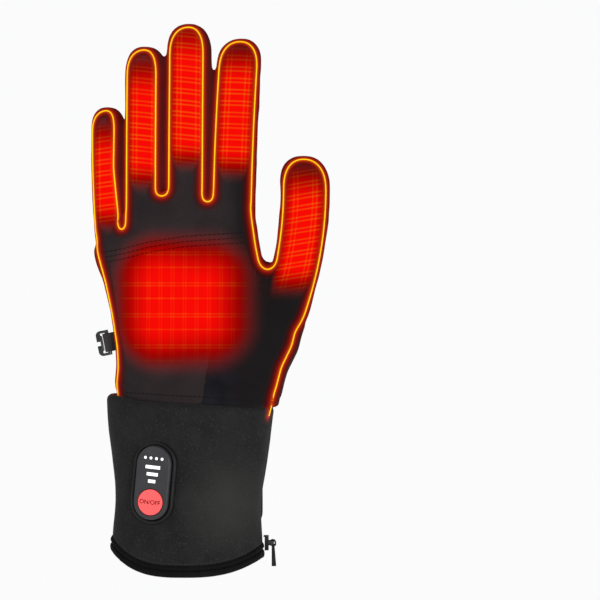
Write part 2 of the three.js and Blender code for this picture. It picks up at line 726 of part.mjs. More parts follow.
// The pleat behind the slit folds inwards and lies against the cuff's inside at its two edges. across is a
// share of its half width and inward of its depth.
const pleatFolds = [
  { across: -1, inward: 0 },
  { across: -0.45, inward: 0.45 },
  { across: -0.3, inward: 1 },
  { across: 0, inward: 0.55 },
  { across: 0.3, inward: 1 },
  { across: 0.45, inward: 0.45 },
  { across: 1, inward: 0 },
];
const pleatShares = [0.05, 0.35, 0.65, 0.92]; // of the height to the slit's arch
function pleat() {
  const half = slitWidth / 2 + bindingRadius + pleatLap;
  const rings = pleatShares.map((share) => {
    const z = share * springing + hemHeight;
    const deep = pleatDepth * (1 - pleatTaper * share);
    const at = ({ across, inward }, more) => {
      const p = cuffSkin(across * half - slitOffset, z, -cuffWall - restGap - more);
      return new THREE.Vector3(p.x, p.y - inward * deep - (inward ? overBinding : 0), z);
    };
    const folds = [...pleatFolds];
    return [...folds.map((fold) => at(fold, 0)), ...folds.reverse().map((fold) => at(fold, pleatWall))];
  });
  return loft(rings.map((ring) => ring.reverse()), -1);
}

// Hem of the cuff: two rolls with the zip's groove between them, open at the slit. out is a share of
// hemThickness from the inside, up a share of hemHeight.
const hemSection = [
  { out: 0, up: 0.1 },
  { out: 0.5, up: 0 },
  { out: 0.93, up: 0.1 },
  { out: 1, up: 0.36 },
  { out: 0.82, up: 0.56 },
  { out: 0.94, up: 0.76 },
  { out: 0.8, up: 1 },
  { out: 0, up: 1 },
];
const proudShare = 0.65;
const hemProud = proudShare * (hemThickness - cuffWall); // its outside stands this far out of the cuff's

const cuffHem = wallRound((angle) =>
  hemSection.map(({ out, up }) => {
    const point = cuffPoint(angle, 0, hemProud - (1 - out) * hemThickness);
    point.z = hemLow(angle) + up * hemHeight;
    return point;
  }),
).subtract(slitCut);

// Wrist strap: a curved tab that hugs the palm's side of the cuff from its free end to the roll.
const strapEnd = -slitOffset - slitWidth / 2 + bindingRadius + restGap;
const overBinding = bindingRadius - cuffWall / 2; // how far the slit's binding stands out of the cuff
const bindingEdge = -slitOffset + slitWidth / 2 + bindingRadius + bindingClear;
// The strap rises from the cuff to pass over the slit's binding.
const strapRise = (x) => THREE.MathUtils.smoothstep(bindingEdge + strapRamp - x, 0, strapRamp);
const strapOut = (x) => restGap + overBinding * strapRise(x);
const strapMiddle = (x) => strapHeight + strapSlope * x;

// The strap's x at shares of its length, closer together round its free end.
function strapStations(from, to, count) {
  return Array.from({ length: count + 1 }, (_, i) => from + ((to - from) * i) / count);
}

const strapSteps = { strap: 12, binding: 9, corner: 6 };
const cornerShares = [0.36, 0.69, 0.9, 1];
function wristStrap() {
  const to = strapReach - strapBindingRadius - restGap;
  const start = to - strapCorner;
  const corner = cornerShares.map((share) => start + share * strapCorner);
  const rings = [...strapStations(strapEnd, start, strapSteps.strap), ...corner].map((x) => {
    const inside = Math.max(0, x - start);
    const trim = strapCorner - Math.sqrt(Math.max(0, strapCorner * strapCorner - inside * inside));
    const half = strapWidth / 2 - trim;
    const middle = strapMiddle(x);
    return [[strapWall, -1], [strapWall, 1], [0, 1], [0, -1]].map(([out, v]) =>
      cuffSkin(x, middle + v * half, strapOut(x) + out),
    );
  });
  return loft(rings);
}

const strapBindingSides = 6;
function strapBinding() {
  const corner = strapCorner + strapBindingRadius;
  const reach = strapBindingRadius + restGap;
  const half = strapWidth / 2 + reach;
  const to = strapReach;
  const line = strapStations(strapEnd, to - corner, strapSteps.binding).map((x) => [x, half]);
  for (let i = 1; i < strapSteps.corner; i++) {
    const angle = (Math.PI / 2) * (i / strapSteps.corner);
    line.push([to - corner + corner * Math.sin(angle), half - corner + corner * Math.cos(angle)]);
  }
  const ends = line.map(([x, v]) => [x, -v]).reverse();
  const whole = [...line, [to, half - corner], [to, 0], [to, corner - half], ...ends];
  const points = whole.map(([x, v]) => cuffSkin(x, strapMiddle(x) + v, strapOut(x) + strapBindingRadius));
  return tube(points, strapBindingRadius, strapBindingSides);
}

// Control pod

// A frame on the cuff: x across, y up and z out of the cuff. It faces as the cuff does under the pod.
function podFrame() {
  const [left, seat, right] = [-1, 0, 1].map((side) =>
    cuffSkin((side * podWidth) / 2 - podOffset, podHeight, 0, -1),
  );
  const turn = Math.atan2(right.y - left.y, right.x - left.x);
  const frame = new THREE.Matrix4().makeRotationX(Math.PI / 2);
  frame.premultiply(new THREE.Matrix4().makeRotationY(radians(podLean)));
  frame.premultiply(new THREE.Matrix4().makeRotationZ(turn));
  frame.setPosition(seat);
  return frame;
}

// A pill in the pod's frame, from one height to another.
function pill(width, length, low, high) {
  const half = width / 2;
  const straight = length / 2 - half;
  const shape = new THREE.Shape();
  shape.absarc(0, straight, half, 0, Math.PI, false);
  shape.absarc(0, -straight, half, Math.PI, 2 * Math.PI, false);
  const options = { depth: high - low, bevelEnabled: false, curveSegments: 7 };
  return new THREE.ExtrudeGeometry(shape, options).translate(0, 0, low);
}

const roundSides = 20;
const disc = (radius, low, high, sides) =>
  new THREE.CylinderGeometry(radius, radius, high - low, sides)
    .rotateX(Math.PI / 2)
    .translate(0, 0, (low + high) / 2);

const onPod = podFrame();
const podSink = 2.2; // the pod's back is curved to the cuff, this deep at its edges
const buttonY = -podLength / 2 + podWidth / 2;
const pocketFloor = podThickness - pocketDepth;
const podPocket = disc(buttonDiameter / 2 + restGap, pocketFloor, FAR, roundSides).translate(0, buttonY, 0);
const pod = solid(pill(podWidth, podLength, -podSink, podThickness), onPod)
  .subtract(solid(podPocket, onPod))
  .subtract(cuffSolid(restGap));

// The rim is the raised frame round the pod.
const rimWidth = 2.4;
const rimProud = 1.5;
const rimDeeper = 1; // the cuff falls away further under the rim than under the pod
const [rimInner, rimOuter] = [restGap, restGap + rimWidth].map((grown) => 2 * grown);
const podRim = solid(pill(podWidth + rimOuter, podLength + rimOuter, -podSink - rimDeeper, rimProud), onPod)
  .subtract(solid(pill(podWidth + rimInner, podLength + rimInner, -FAR, FAR), onPod))
  .subtract(cuffSolid(restGap));

const buttonLow = pocketFloor + buttonTravel + restGap;
const buttonDisc = disc(buttonDiameter / 2, buttonLow, podThickness + buttonProud, roundSides);
const button = solid(buttonDisc.translate(0, buttonY, 0), onPod);

// Charge dots and heat bars, each lying on the pod's face. up is a share of podLength from the pod's
// middle, and width of podWidth.
const lampWall = 0.4;
const lampGap = 0.05;
const lampBase = podThickness + lampGap;
const dotRadius = 0.82;
const dotSides = 10;
const dotPitch = 3.25;
const dotPlaces = [-1.5, -0.5, 0.5, 1.5]; // in pitches from the pod's middle
const dotUp = 0.335;
const bars = [
  { width: 0.43, up: 0.215 },
  { width: 0.33, up: 0.12 },
  { width: 0.215, up: 0.025 },
];
const barHeight = 1.8;
const dots = dotPlaces.map((place) =>
  solid(
    disc(dotRadius, lampBase, lampBase + lampWall, dotSides).translate(place * dotPitch, dotUp * podLength, 0),
    onPod,
  ),
);
const barSolids = bars.map(({ width, up }) =>
  solid(
    new THREE.BoxGeometry(width * podWidth, barHeight, lampWall).translate(
      0, up * podLength, lampBase + lampWall / 2,
    ),
    onPod,
  ),
);

// Zip slider on the hem at the thumb's side, with a bridge that the pull hangs from.
const hemSideX = cuffPoint(0, 0, hemProud).x;
const sliderUp = 0.55; // of hemHeight
const sliderZ = hemLow(0) + hemHeight * sliderUp;
const barSides = 10;
const bridgeX = hemSideX + restGap + sliderThickness + bridgeStandoff;
const box = (x0, x1, y0, y1, z0, z1) =>
  solid(
    new THREE.BoxGeometry(x1 - x0, y1 - y0, z1 - z0),
    new THREE.Matrix4().makeTranslation((x0 + x1) / 2, (y0 + y1) / 2, (z0 + z1) / 2),
  );

function zipSlider() {
  const [low, high] = [sliderZ - sliderLength / 2, sliderZ + sliderLength / 2];
  const face = hemSideX + restGap;
  const body = box(face - sliderFoot, face + sliderThickness, -sliderWidth / 2, sliderWidth / 2, low, high);
  const reach = bridgeX + bridgeRadius;
  const ears = [-1, 1].map((side) => {
    const [inner, outer] = [side * (sliderWidth / 2 - cheek), (side * sliderWidth) / 2];
    const [earLow, earHigh] = [sliderZ - earHeight / 2, sliderZ + earHeight / 2];
    return box(face, reach, Math.min(inner, outer), Math.max(inner, outer), earLow, earHigh);
  });
  const bar = solid(
    new THREE.CylinderGeometry(bridgeRadius, bridgeRadius, sliderWidth - cheek, barSides),
    new THREE.Matrix4().makeTranslation(bridgeX, 0, sliderZ),
  );
  return joined([body, ...ears, bar]).subtract(hemFilled(restGap));
}

// The hem's outside, filled in and grown, for cutting what is seated on it.
function hemFilled(grown) {
  const rings = [0, 0.36, 0.56, 1].map((up) =>
    Array.from({ length: cuffSides }, (_, j) => {
      const angle = (2 * Math.PI * j) / cuffSides;
      const point = cuffPoint(angle, 0, hemProud + grown);
      point.z = hemLow(angle) + up * hemHeight + (up - 0.5) * 2 * grown;
      return point;
    }),
  );
  return loft(rings).add(cuffSolid(grown));
}

// The pull: a flat tab hanging straight down from an eye round the bridge.
function zipPull() {
  const eye = bridgeRadius + pullEyeClearance;
  const outer = eye + pullEyeWall;
  const half = pullThickness / 2;
  const shoulder = Math.sqrt(outer * outer - half * half);
  const turn = Math.asin(half / outer);
  const shape = new THREE.Shape();
  shape.moveTo(-half, -pullLength);
  shape.lineTo(half, -pullLength);
  shape.lineTo(half, -shoulder);
  shape.absarc(0, 0, outer, turn - Math.PI / 2, 1.5 * Math.PI - turn, false);
  shape.holes.push(new THREE.Path().absarc(0, 0, eye, 0, 2 * Math.PI, true));
  const options = { depth: pullWidth, bevelEnabled: false, curveSegments: 8 };
  const geometry = new THREE.ExtrudeGeometry(shape, options);
  geometry.translate(0, 0, -pullWidth / 2).rotateX(Math.PI / 2);
  geometry.translate(bridgeX, 0, sliderZ);
  return solid(geometry);
}

// Webbing tab and clip. In their frame x points away from the hand, y to the palm, and z along the hand.
const handSide = palmSection(tabUp / palmLength);
const tabSeat = new THREE.Vector3(handSide.middle - handSide.half, 0, cuffHeight + tabUp);
const clipFrame = new THREE.Matrix4().makeRotationY(radians(180 - clipLean));
clipFrame.setPosition(tabSeat);
const eyeRadius = clipBarRadius + restGap;

// The webbing is one loop: round the bar of the clip, its two ends laid together at the hand.
function webbingTab() {
  const outer = eyeRadius + webbingWall;
  const shape = new THREE.Shape();
  shape.moveTo(-tabRoot, -webbingWall);
  shape.lineTo(tabReach - outer, -webbingWall);
  shape.lineTo(tabReach, -outer);
  shape.absarc(tabReach, 0, outer, -Math.PI / 2, Math.PI / 2, false);
  shape.lineTo(tabReach - outer, webbingWall);
  shape.lineTo(-tabRoot, webbingWall);
  const hole = new THREE.Path();
  hole.absarc(tabReach, 0, eyeRadius, 0, 2 * Math.PI, false);
  shape.holes.push(hole);
  const options = { depth: tabWidth, bevelEnabled: false, curveSegments: 7 };
  const geometry = new THREE.ExtrudeGeometry(shape, options).translate(0, 0, -tabWidth / 2);
  return solid(geometry, clipFrame).subtract(handSolid(-restGap));
}

// The clip: a bar that the webbing goes round, two arms, and a hook with a notch in its outer edge.
function gloveClip() {
  const half = tabWidth / 2 + restGap + clipArm;
  const inner = half - clipArm;
  const [bar, end] = [tabReach, tabReach + clipLength];
  const plate = new THREE.Shape();
  plate.moveTo(bar, -half);
  plate.lineTo(end - clipCorner, -half);
  plate.absarc(end - clipCorner, -half + clipCorner, clipCorner, -Math.PI / 2, 0, false);
  plate.lineTo(end, -clipNotch / 2);
  plate.lineTo(end - notchDepth, -clipNotch / 2);
  plate.lineTo(end - notchDepth, clipNotch / 2);
  plate.lineTo(end, clipNotch / 2);
  plate.absarc(end - clipCorner, half - clipCorner, clipCorner, 0, Math.PI / 2, false);
  plate.lineTo(bar, half);
  plate.lineTo(bar, inner);
  const slot = bar + eyeRadius + webbingWall + restGap;
  plate.lineTo(slot + slotStep, inner);
  plate.lineTo(slot + slotStep, inner - slotShoulder);
  plate.lineTo(slot, inner - slotShoulder - slotSlope);
  plate.lineTo(slot, -inner + slotShoulder + slotSlope);
  plate.lineTo(slot + slotStep, -inner + slotShoulder);
  plate.lineTo(slot + slotStep, -inner);
  plate.lineTo(bar, -inner);
  const options = { depth: clipThickness, bevelEnabled: false, curveSegments: 5 };
  const hook = new THREE.ExtrudeGeometry(plate, options).rotateX(Math.PI / 2);
  const pin = new THREE.CylinderGeometry(clipBarRadius, clipBarRadius, 2 * half, 12).rotateX(Math.PI / 2);
  hook.translate(0, clipThickness / 2, 0);
  pin.translate(bar, 0, 0);
  return solid(hook, clipFrame).add(solid(pin, clipFrame));
}

// Materials
const material = (color, roughness, metalness = 0) =>
  new THREE.MeshStandardMaterial({ color, roughness, metalness });
const stretchFabric = material(0x2b2a2d, 0.85);
const thumbFabric = material(0x18181d, 0.9);
const gripFabric = material(0x262628, 0.8);
const neoprene = material(0x232324, 0.8);
const binding = material(0x1b1b1c, 0.75);
const podPlastic = material(0x303033, 0.5);
const buttonRed = material(0xf0524f, 0.45);
const lampWhite = material(0xf4f4f4, 0.4);
const clipPlastic = material(0x1c1b1e, 0.4);
const wireYellow = material(0xffc400, 0.5);

// Assembly
const glove = new THREE.Group();

function add(name, made, finish) {
  const mesh = made.getMesh();
  const geometry = new THREE.BufferGeometry();
  geometry.setAttribute("position", new THREE.BufferAttribute(mesh.vertProperties, mesh.numProp));
  geometry.setIndex(new THREE.BufferAttribute(mesh.triVerts, 1));
  const piece = new THREE.Mesh(geometry, finish);
  piece.name = name;
  glove.add(piece);
}

add("back_panel", backPanel, stretchFabric);
add("palm_panel", palmPanel, gripFabric);
add("thumb_back_panel", thumbBack, thumbFabric);
add("thumb_palm_panel", thumbPalm, gripFabric);
strips.forEach((strip, i) => add(stripNames[i], strip, stretchFabric));
add("heating_wire_back", wire("back"), wireYellow);
add("heating_wire_palm", wire("palm"), wireYellow);
add("cuff", cuff, neoprene);
add("cuff_hem", cuffHem, binding);
add("slit_binding", slitBinding(), binding);
add("slit_pleat", pleat(), thumbFabric);
add("wrist_strap", wristStrap(), neoprene);
add("strap_binding", strapBinding(), binding);
add("control_pod", pod, podPlastic);
add("pod_rim", podRim, binding);
add("power_button", button, buttonRed);
dots.forEach((dot, i) => add(`charge_dot_${i + 1}`, dot, lampWhite));
barSolids.forEach((bar, i) => add(`heat_bar_${i + 1}`, bar, lampWhite));
add("zip_slider", zipSlider(), clipPlastic);
add("zip_pull", zipPull(), clipPlastic);
add("webbing_tab", webbingTab(), binding);
add("glove_clip", gloveClip(), clipPlastic);

export default glove;
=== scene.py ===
import math
import bmesh
import bpy
import numpy as np
from mathutils import Matrix, Vector, bvhtree, kdtree, noise


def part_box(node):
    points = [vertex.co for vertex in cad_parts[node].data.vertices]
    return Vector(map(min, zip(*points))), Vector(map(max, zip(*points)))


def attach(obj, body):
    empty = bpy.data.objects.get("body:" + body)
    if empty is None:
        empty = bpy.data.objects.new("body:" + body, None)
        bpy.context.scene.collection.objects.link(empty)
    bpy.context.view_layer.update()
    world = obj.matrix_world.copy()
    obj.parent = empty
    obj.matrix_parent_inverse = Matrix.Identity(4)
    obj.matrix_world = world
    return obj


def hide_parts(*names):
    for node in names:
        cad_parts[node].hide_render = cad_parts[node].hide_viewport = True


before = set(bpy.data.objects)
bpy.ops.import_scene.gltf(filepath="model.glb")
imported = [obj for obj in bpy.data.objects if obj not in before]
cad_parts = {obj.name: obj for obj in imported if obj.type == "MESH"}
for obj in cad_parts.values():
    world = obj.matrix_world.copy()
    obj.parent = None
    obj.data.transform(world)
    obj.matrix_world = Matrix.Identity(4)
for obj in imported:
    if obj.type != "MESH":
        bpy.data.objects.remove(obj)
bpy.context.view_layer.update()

# Studio. The glove stands alone before a white wall on a white floor that light evenly, so neither a
# horizon nor a shadow shows. The camera looks level at the back of the hand through a long lens.
studio = bpy.context.scene
studio.view_settings.view_transform = "Standard"
camera_data = bpy.data.cameras.new("camera")
camera_data.lens = 135
camera_data.clip_end = 30
camera = bpy.data.objects.new("camera", camera_data)
camera.location = (0.0627, -1.265, 0.1551)
camera.rotation_euler = (math.pi / 2, 0, 0)
studio.collection.objects.link(camera)
studio.camera = camera

sky = bpy.data.worlds.new("white_studio")
studio.world = sky
sky.use_nodes = True
sky.node_tree.nodes["Background"].inputs["Color"].default_value = (0.965, 0.965, 0.97, 1)
rays = sky.node_tree.nodes.new("ShaderNodeLightPath")
dimmer = sky.node_tree.nodes.new("ShaderNodeMapRange")  # the wall looks white, and lights the glove less
dimmer.inputs["To Min"].default_value = 0.3
sky.node_tree.links.new(rays.outputs["Is Camera Ray"], dimmer.inputs["Value"])
sky.node_tree.links.new(dimmer.outputs["Result"], sky.node_tree.nodes["Background"].inputs["Strength"])

floor_mesh = bmesh.new()
bmesh.ops.create_grid(floor_mesh, x_segments=1, y_segments=1, size=4)
bmesh.ops.translate(floor_mesh, verts=floor_mesh.verts, vec=(0, 0, -0.09))
floor_data = bpy.data.meshes.new("studio_floor")
floor_mesh.to_mesh(floor_data)
studio_floor = bpy.data.objects.new("studio_floor", floor_data)
studio.collection.objects.link(studio_floor)
floor_white = bpy.data.materials.new("floor_white")
floor_white.use_nodes = True
floor_shader = floor_white.node_tree.nodes["Principled BSDF"]
floor_shader.inputs["Base Color"].default_value = (0, 0, 0, 1)
floor_shader.inputs["Specular IOR Level"].default_value = 0
floor_shader.inputs["Roughness"].default_value = 1
floor_shader.inputs["Emission Color"].default_value = (0.965, 0.965, 0.97, 1)
floor_shader.inputs["Emission Strength"].default_value = 1.0
floor_data.materials.append(floor_white)


def softbox(name, place, aim, size, power):
    data = bpy.data.lights.new(name, "AREA")
    data.shape = "DISK"
    data.size = size
    data.energy = power
    lamp = bpy.data.objects.new(name, data)
    lamp.location = place
    lamp.rotation_euler = (Vector(aim) - Vector(place)).to_track_quat("-Z", "Y").to_euler()
    studio.collection.objects.link(lamp)


softbox("softbox_right", (0.5, -0.8, 0.12), (0.03, 0, 0.03), 0.3, 5.5)
softbox("softbox_left", (-0.9, -0.6, 0.6), (0, 0, 0.15), 0.5, 4.5)

# Hand. Stretch cloth with a fleece lining, filled out by a hand that isn't there. Palm and digits are made
# as rounded sleeves, run together into one skin, and that skin is cut into its panels further down.
MM = 0.001
wrist_height, palm_length, breadth, hand_depth, web_drop, squareness = 98, 122, 94, 36, 26, 2.3
# share up the palm, left and right edge, half depth of the back and of the palm, share of the web's drop
palm_rows = np.array([
    [0.00, -0.425, 0.536, 0.78, 0.78, 0.00],
    [0.07, -0.440, 0.566, 0.73, 0.75, 0.00],
    [0.16, -0.430, 0.596, 0.66, 0.71, 0.00],
    [0.26, -0.438, 0.659, 0.60, 0.68, 0.00],
    [0.40, -0.468, 0.700, 0.53, 0.63, 0.03],
    [0.55, -0.508, 0.520, 0.48, 0.57, 0.10],
    [0.69, -0.557, 0.447, 0.45, 0.51, 0.25],
    [0.83, -0.570, 0.420, 0.41, 0.45, 0.50],
    [0.93, -0.560, 0.408, 0.35, 0.39, 0.80],
    [1.00, -0.540, 0.385, 0.27, 0.31, 1.00],
])


class Digit:
    """One finger or the thumb: its sizes in mm, and where its seams lie in from its two sides."""

    def __init__(self, x, width, depth, length, root_up, root_y, curl, spread=0.0, bow=0.0,
                 slim=0.0, root=1.0, opening=0.0, back=(2.0, 4.6), palm=(4.6, 2.6), crotch_up=0.615):
        self.x, self.width, self.depth, self.length = x, width, depth, length
        self.root_z = wrist_height + palm_length * root_up
        self.tip_z = self.root_z + length
        self.root_y, self.curl, self.spread, self.bow = root_y, curl, spread, bow
        self.slim, self.root, self.opening = slim, root, opening
        self.crotch_z = wrist_height + palm_length * crotch_up
        self.margins = {"back": back, "palm": palm}

    def section(self, z):
        t = np.clip((z - self.root_z) / self.length, 0, 1)
        below_web = np.maximum(0, 1 - t / 0.25)
        slimmed = self.slim * (1 - t) ** 2
        grown = np.minimum(1, t / 0.22)
        taper = self.root + (1 - self.root) * grown * grown * (3 - 2 * grown)
        middle = self.x + self.spread * (t - 0.25) / 0.75 + 4 * self.bow * t * (1 - t) + self.width / 2 * slimmed
        return (middle, self.root_y + self.curl * t * t, self.width / 2 * (taper - slimmed),
                self.depth / 2 * taper * (1 + 0.16 * below_web))

    def dome(self, z, tip_z):
        share = np.clip((z - tip_z) / (0.6 * self.width) + 1, 0, 1)
        return (1 - share ** squareness) ** (1 / squareness)

    def seam(self, view, z, side):
        middle, _, half, _ = self.section(z)
        round_off = self.dome(z, self.tip_z - 2.6)
        t = np.clip((z - self.root_z) / self.length, 0, 1)
        margin = self.margins[view][side > 0]
        if side > 0 and view == "back" and self.opening:
            margin = margin * np.minimum(1, t / self.opening)
        return middle + side * (half - margin) * round_off


pinky = Digit(-46.4, 19.4, 18.6, 89.5, 0.635, 5, 9, spread=0.2, slim=0.22, root=0.85, opening=0.6,
              back=(1.3, 5.6), crotch_up=0.795)
ring = Digit(-24.65, 23.2, 20.6, 112, 0.727, 0.8, 8, back=(1.8, 5.2), crotch_up=0.95)
middle = Digit(0, 25.2, 21.4, 124.5, 0.727, -1.2, 8, spread=0.3, crotch_up=0.923)
index = Digit(25.85, 25.6, 21.4, 116.5, 0.727, 0, 8, spread=3.4, bow=-0.9, back=(2.0, 2.6), crotch_up=0.615)
thumb = Digit(48.4, 28, 24, 116, 0.19, 5, 7, spread=16.2, bow=8.2, root=0.55, back=(2.0, 2.4), palm=(3.4, 3.2))
digits = [pinky, ring, middle, index, thumb]


def palm_at(column, up):
    return np.interp(up, palm_rows[:, 0], palm_rows[:, column])


def hem_line(x):
    return wrist_height - 0.05 * x


def palm_height(x, up):
    fall = -web_drop * ((x / breadth - 0.03) / 0.5) ** 2
    return hem_line(x) + 0.35 * (1 - up) + up * palm_length + palm_at(5, up) * fall


def rounded(turn, power):
    c, s = math.cos(turn), math.sin(turn)
    return math.copysign(abs(c) ** (2 / power), c), math.copysign(abs(s) ** (2 / power), s)


def sleeve(columns, rows, place, closed=True):
    """A grid rolled up into a sleeve: place(turn, share along) gives each point in mm. Each point keeps its
    turn and its share along, for patterns that follow the piece."""
    bm = bmesh.new()
    bmesh.ops.create_grid(bm, x_segments=columns, y_segments=rows, size=0.5)
    turned, run = bm.verts.layers.float.new("turn"), bm.verts.layers.float.new("run")
    for v in bm.verts:
        v[turned], v[run] = (v.co.x + 0.5) * 2 * math.pi, v.co.y + 0.5
        v.co = place(v[turned], v[run])
    bmesh.ops.remove_doubles(bm, verts=bm.verts, dist=1e-4)
    if closed:
        bmesh.ops.holes_fill(bm, edges=[e for e in bm.edges if e.is_boundary], sides=0)
    bmesh.ops.recalc_face_normals(bm, faces=bm.faces)
    return bm


def palm_place(turn, along):
    u, v = rounded(turn, squareness)
    below = [(-5.5, 6.0), (-1.6, 4.2), (-0.6, 1.6), (0.1, 0.4)]  # the cloth turns in under its hem
    step = along * 64
    up = max(0.0, (step - 4) / 60)
    sunk, inset = below[int(round(step))] if step < 3.5 else (0, 0)
    left, right = palm_at(1, up) * breadth, palm_at(2, up) * breadth
    half = (right - left) / 2 - inset
    x = (left + right) / 2 + u * half
    y = v * (palm_at(3 if v < 0 else 4, up) * hand_depth - inset)
    return Vector((x, y, palm_height(x, up) + sunk))


def digit_place(digit):
    def place(turn, along):
        u, v = rounded(turn, squareness)
        straight = digit.length - 0.6 * digit.width
        if along < 0.7:
            z = digit.root_z + straight * along / 0.7
        else:
            z = digit.tip_z - 0.6 * digit.width * (1 - math.sin((along - 0.7) / 0.3 * math.pi / 2))
        middle_x, y, half, deep = digit.section(z)
        round_off = digit.dome(z, digit.tip_z)
        return Vector((middle_x + u * half * round_off, y + v * deep * round_off, z))
    return place


skin = bmesh.new()
for part in [sleeve(72, 64, palm_place)] + [sleeve(48, 60, digit_place(d)) for d in digits]:
    loose = bpy.data.meshes.new("loose")
    part.to_mesh(loose)
    skin.from_mesh(loose)
    bpy.data.meshes.remove(loose)
bmesh.ops.create_uvsphere(skin, u_segments=24, v_segments=16, radius=1,  # the web of cloth beside the thumb
                          matrix=Matrix.Translation((43, 1.5, 164.5)) @ Matrix.Diagonal((11, 7, 12.5, 1)))
bmesh.ops.scale(skin, vec=(MM, MM, MM), verts=skin.verts)
skin_data = bpy.data.meshes.new("skin")
skin.to_mesh(skin_data)
skin.free()
run_together = bpy.data.objects.new("run_together", skin_data)
studio.collection.objects.link(run_together)
voxels = run_together.modifiers.new("voxels", "REMESH")
voxels.mode = "VOXEL"
voxels.voxel_size = 1.2 * MM
bpy.context.view_layer.update()
whole = bpy.data.meshes.new_from_object(run_together.evaluated_get(bpy.context.evaluated_depsgraph_get()))
bpy.data.objects.remove(run_together)

hand = bmesh.new()
hand.from_mesh(whole)
bmesh.ops.scale(hand, vec=(1000, 1000, 1000), verts=hand.verts)
for _ in range(9):
    bmesh.ops.smooth_vert(hand, verts=hand.verts, factor=0.5, use_axis_x=True, use_axis_y=True, use_axis_z=True)
lowest = min(v.co.z for v in hand.verts)
bmesh.ops.bisect_plane(hand, geom=hand.verts[:] + hand.edges[:] + hand.faces[:], plane_co=(0, 0, lowest + 1.5),
                       plane_no=(0, 0, 1), clear_inner=True)


# Seams of the hand. One runs up the little finger's side, round every digit and down the thumb's side, on
# the back and again on the palm. Another on each view sets the thumb's panel off.
def smooth_line(points, step, passes):
    """Points evenly spaced along a line and eased, as (n, 2)."""
    points = np.array(points, float)
    run = np.concatenate([[0], np.cumsum(np.hypot(*np.diff(points, axis=0).T))])
    count = int(run[-1] / step) + 1
    line = np.stack([np.interp(np.linspace(0, run[-1], count), run, points[:, k]) for k in (0, 1)], 1)
    for _ in range(passes):
        line[1:-1] = (line[:-2] + 2 * line[1:-1] + line[2:]) / 4
    return line


def side_of_hand(digit, view, z, side):
    """The outer seam of a digit, or the palm's own where the digit's root is still inside the palm."""
    outermost = (digit is pinky and side < 0) or (digit is index and side > 0)
    if outermost and z < digit.root_z + 0.18 * digit.length:
        return palm_side(view, (z - wrist_height) / palm_length, side)
    return float(digit.seam(view, z, side))


def palm_side(view, up, side):
    margin = {"back": (1.7, 3.9), "palm": (5.0, 4.0)}[view][side > 0]
    return float(palm_at(1 if side < 0 else 2, up)) * breadth - side * margin


def seam_line(view, low):
    line = [(palm_side(view, up, -1), wrist_height + palm_length * up) for up in np.arange(low, 0.62, 0.02)]
    for i, digit in enumerate(digits):
        crown = digit.tip_z - 2.6
        shoulder = crown - 0.6 * digit.width
        foot = line[-1][1] + 1
        for z in np.arange(foot, shoulder, 1.5):
            line.append((side_of_hand(digit, view, z, -1), z))
        over = np.sin(np.linspace(0.05, 1, 14) * math.pi / 2)
        line += [(float(digit.seam(view, shoulder + (crown - shoulder) * s, -1)), shoulder + (crown - shoulder) * s)
                 for s in over]
        line += [(float(digit.seam(view, shoulder + (crown - shoulder) * s, 1)), shoulder + (crown - shoulder) * s)
                 for s in over[::-1][1:]]
        if digit is thumb:
            for z in np.arange(shoulder, wrist_height + low * palm_length, -1.5):
                own = float(digit.seam(view, z, 1)) if z > digit.root_z + 2 else 0
                up = (z - wrist_height) / palm_length
                line.append((max(own, palm_side(view, up, 1) if up < 0.5 else 0), z))
            break
        following = digits[i + 1]
        deepest = digit.crotch_z - 1.2
        tall = 9.0 if digit is index else 3.2
        top = deepest + tall
        x0, x1 = side_of_hand(digit, view, top, 1), float(following.seam(view, top, -1))
        for z in np.arange(shoulder, top, -1.5):
            line.append((side_of_hand(digit, view, z, 1), z))
        for turn in np.linspace(0, math.pi, 13):
            line.append(((x0 + x1) / 2 - (x1 - x0) / 2 * math.cos(turn), top - tall * math.sin(turn)))
    return line


def enclosed(outline, x, z):
    inside = np.zeros(len(x), bool)
    x0, z0 = outline[-1]
    for x1, z1 in outline:
        if z0 != z1:
            crosses = ((z1 > z) != (z0 > z)) & (x < (x0 - x1) * (z - z1) / (z0 - z1) + x1)
            inside ^= crosses
        x0, z0 = x1, z1
    return inside


def nearest(line3, points):
    tree = kdtree.KDTree(len(line3))
    for i, p in enumerate(line3):
        tree.insert(p, i)
    tree.balance()
    return np.array([tree.find(p)[2] for p in points])


hand.normal_update()
cloth_tree = bvhtree.BVHTree.FromBMesh(hand)


def on_cloth(x, z, side):
    """The outermost point of the cloth at a place, seen from the back (-1) or the palm (1), and its normal."""
    place, normal, _, _ = cloth_tree.ray_cast(Vector((x, side * 200, z)), Vector((0, -side, 0)))
    return place, normal


def coordinates(bm):
    return np.array([v.co[:] for v in bm.verts])


def cut_along(bm, layer, among=None):
    """Cuts the skin's faces exactly where a layer of its points passes through nought."""
    fresh = []
    for e in list(bm.edges):
        a, b = e.verts
        va, vb = a[layer], b[layer]
        if va * vb < 0 and (among is None or (a[among] >= 0 and b[among] >= 0)):
            share = min(0.92, max(0.08, va / (va - vb)))
            _, v = bmesh.utils.edge_split(e, a, share)
            v[layer] = 0.0
            fresh.append(v)
    bmesh.ops.connect_verts(bm, verts=fresh)


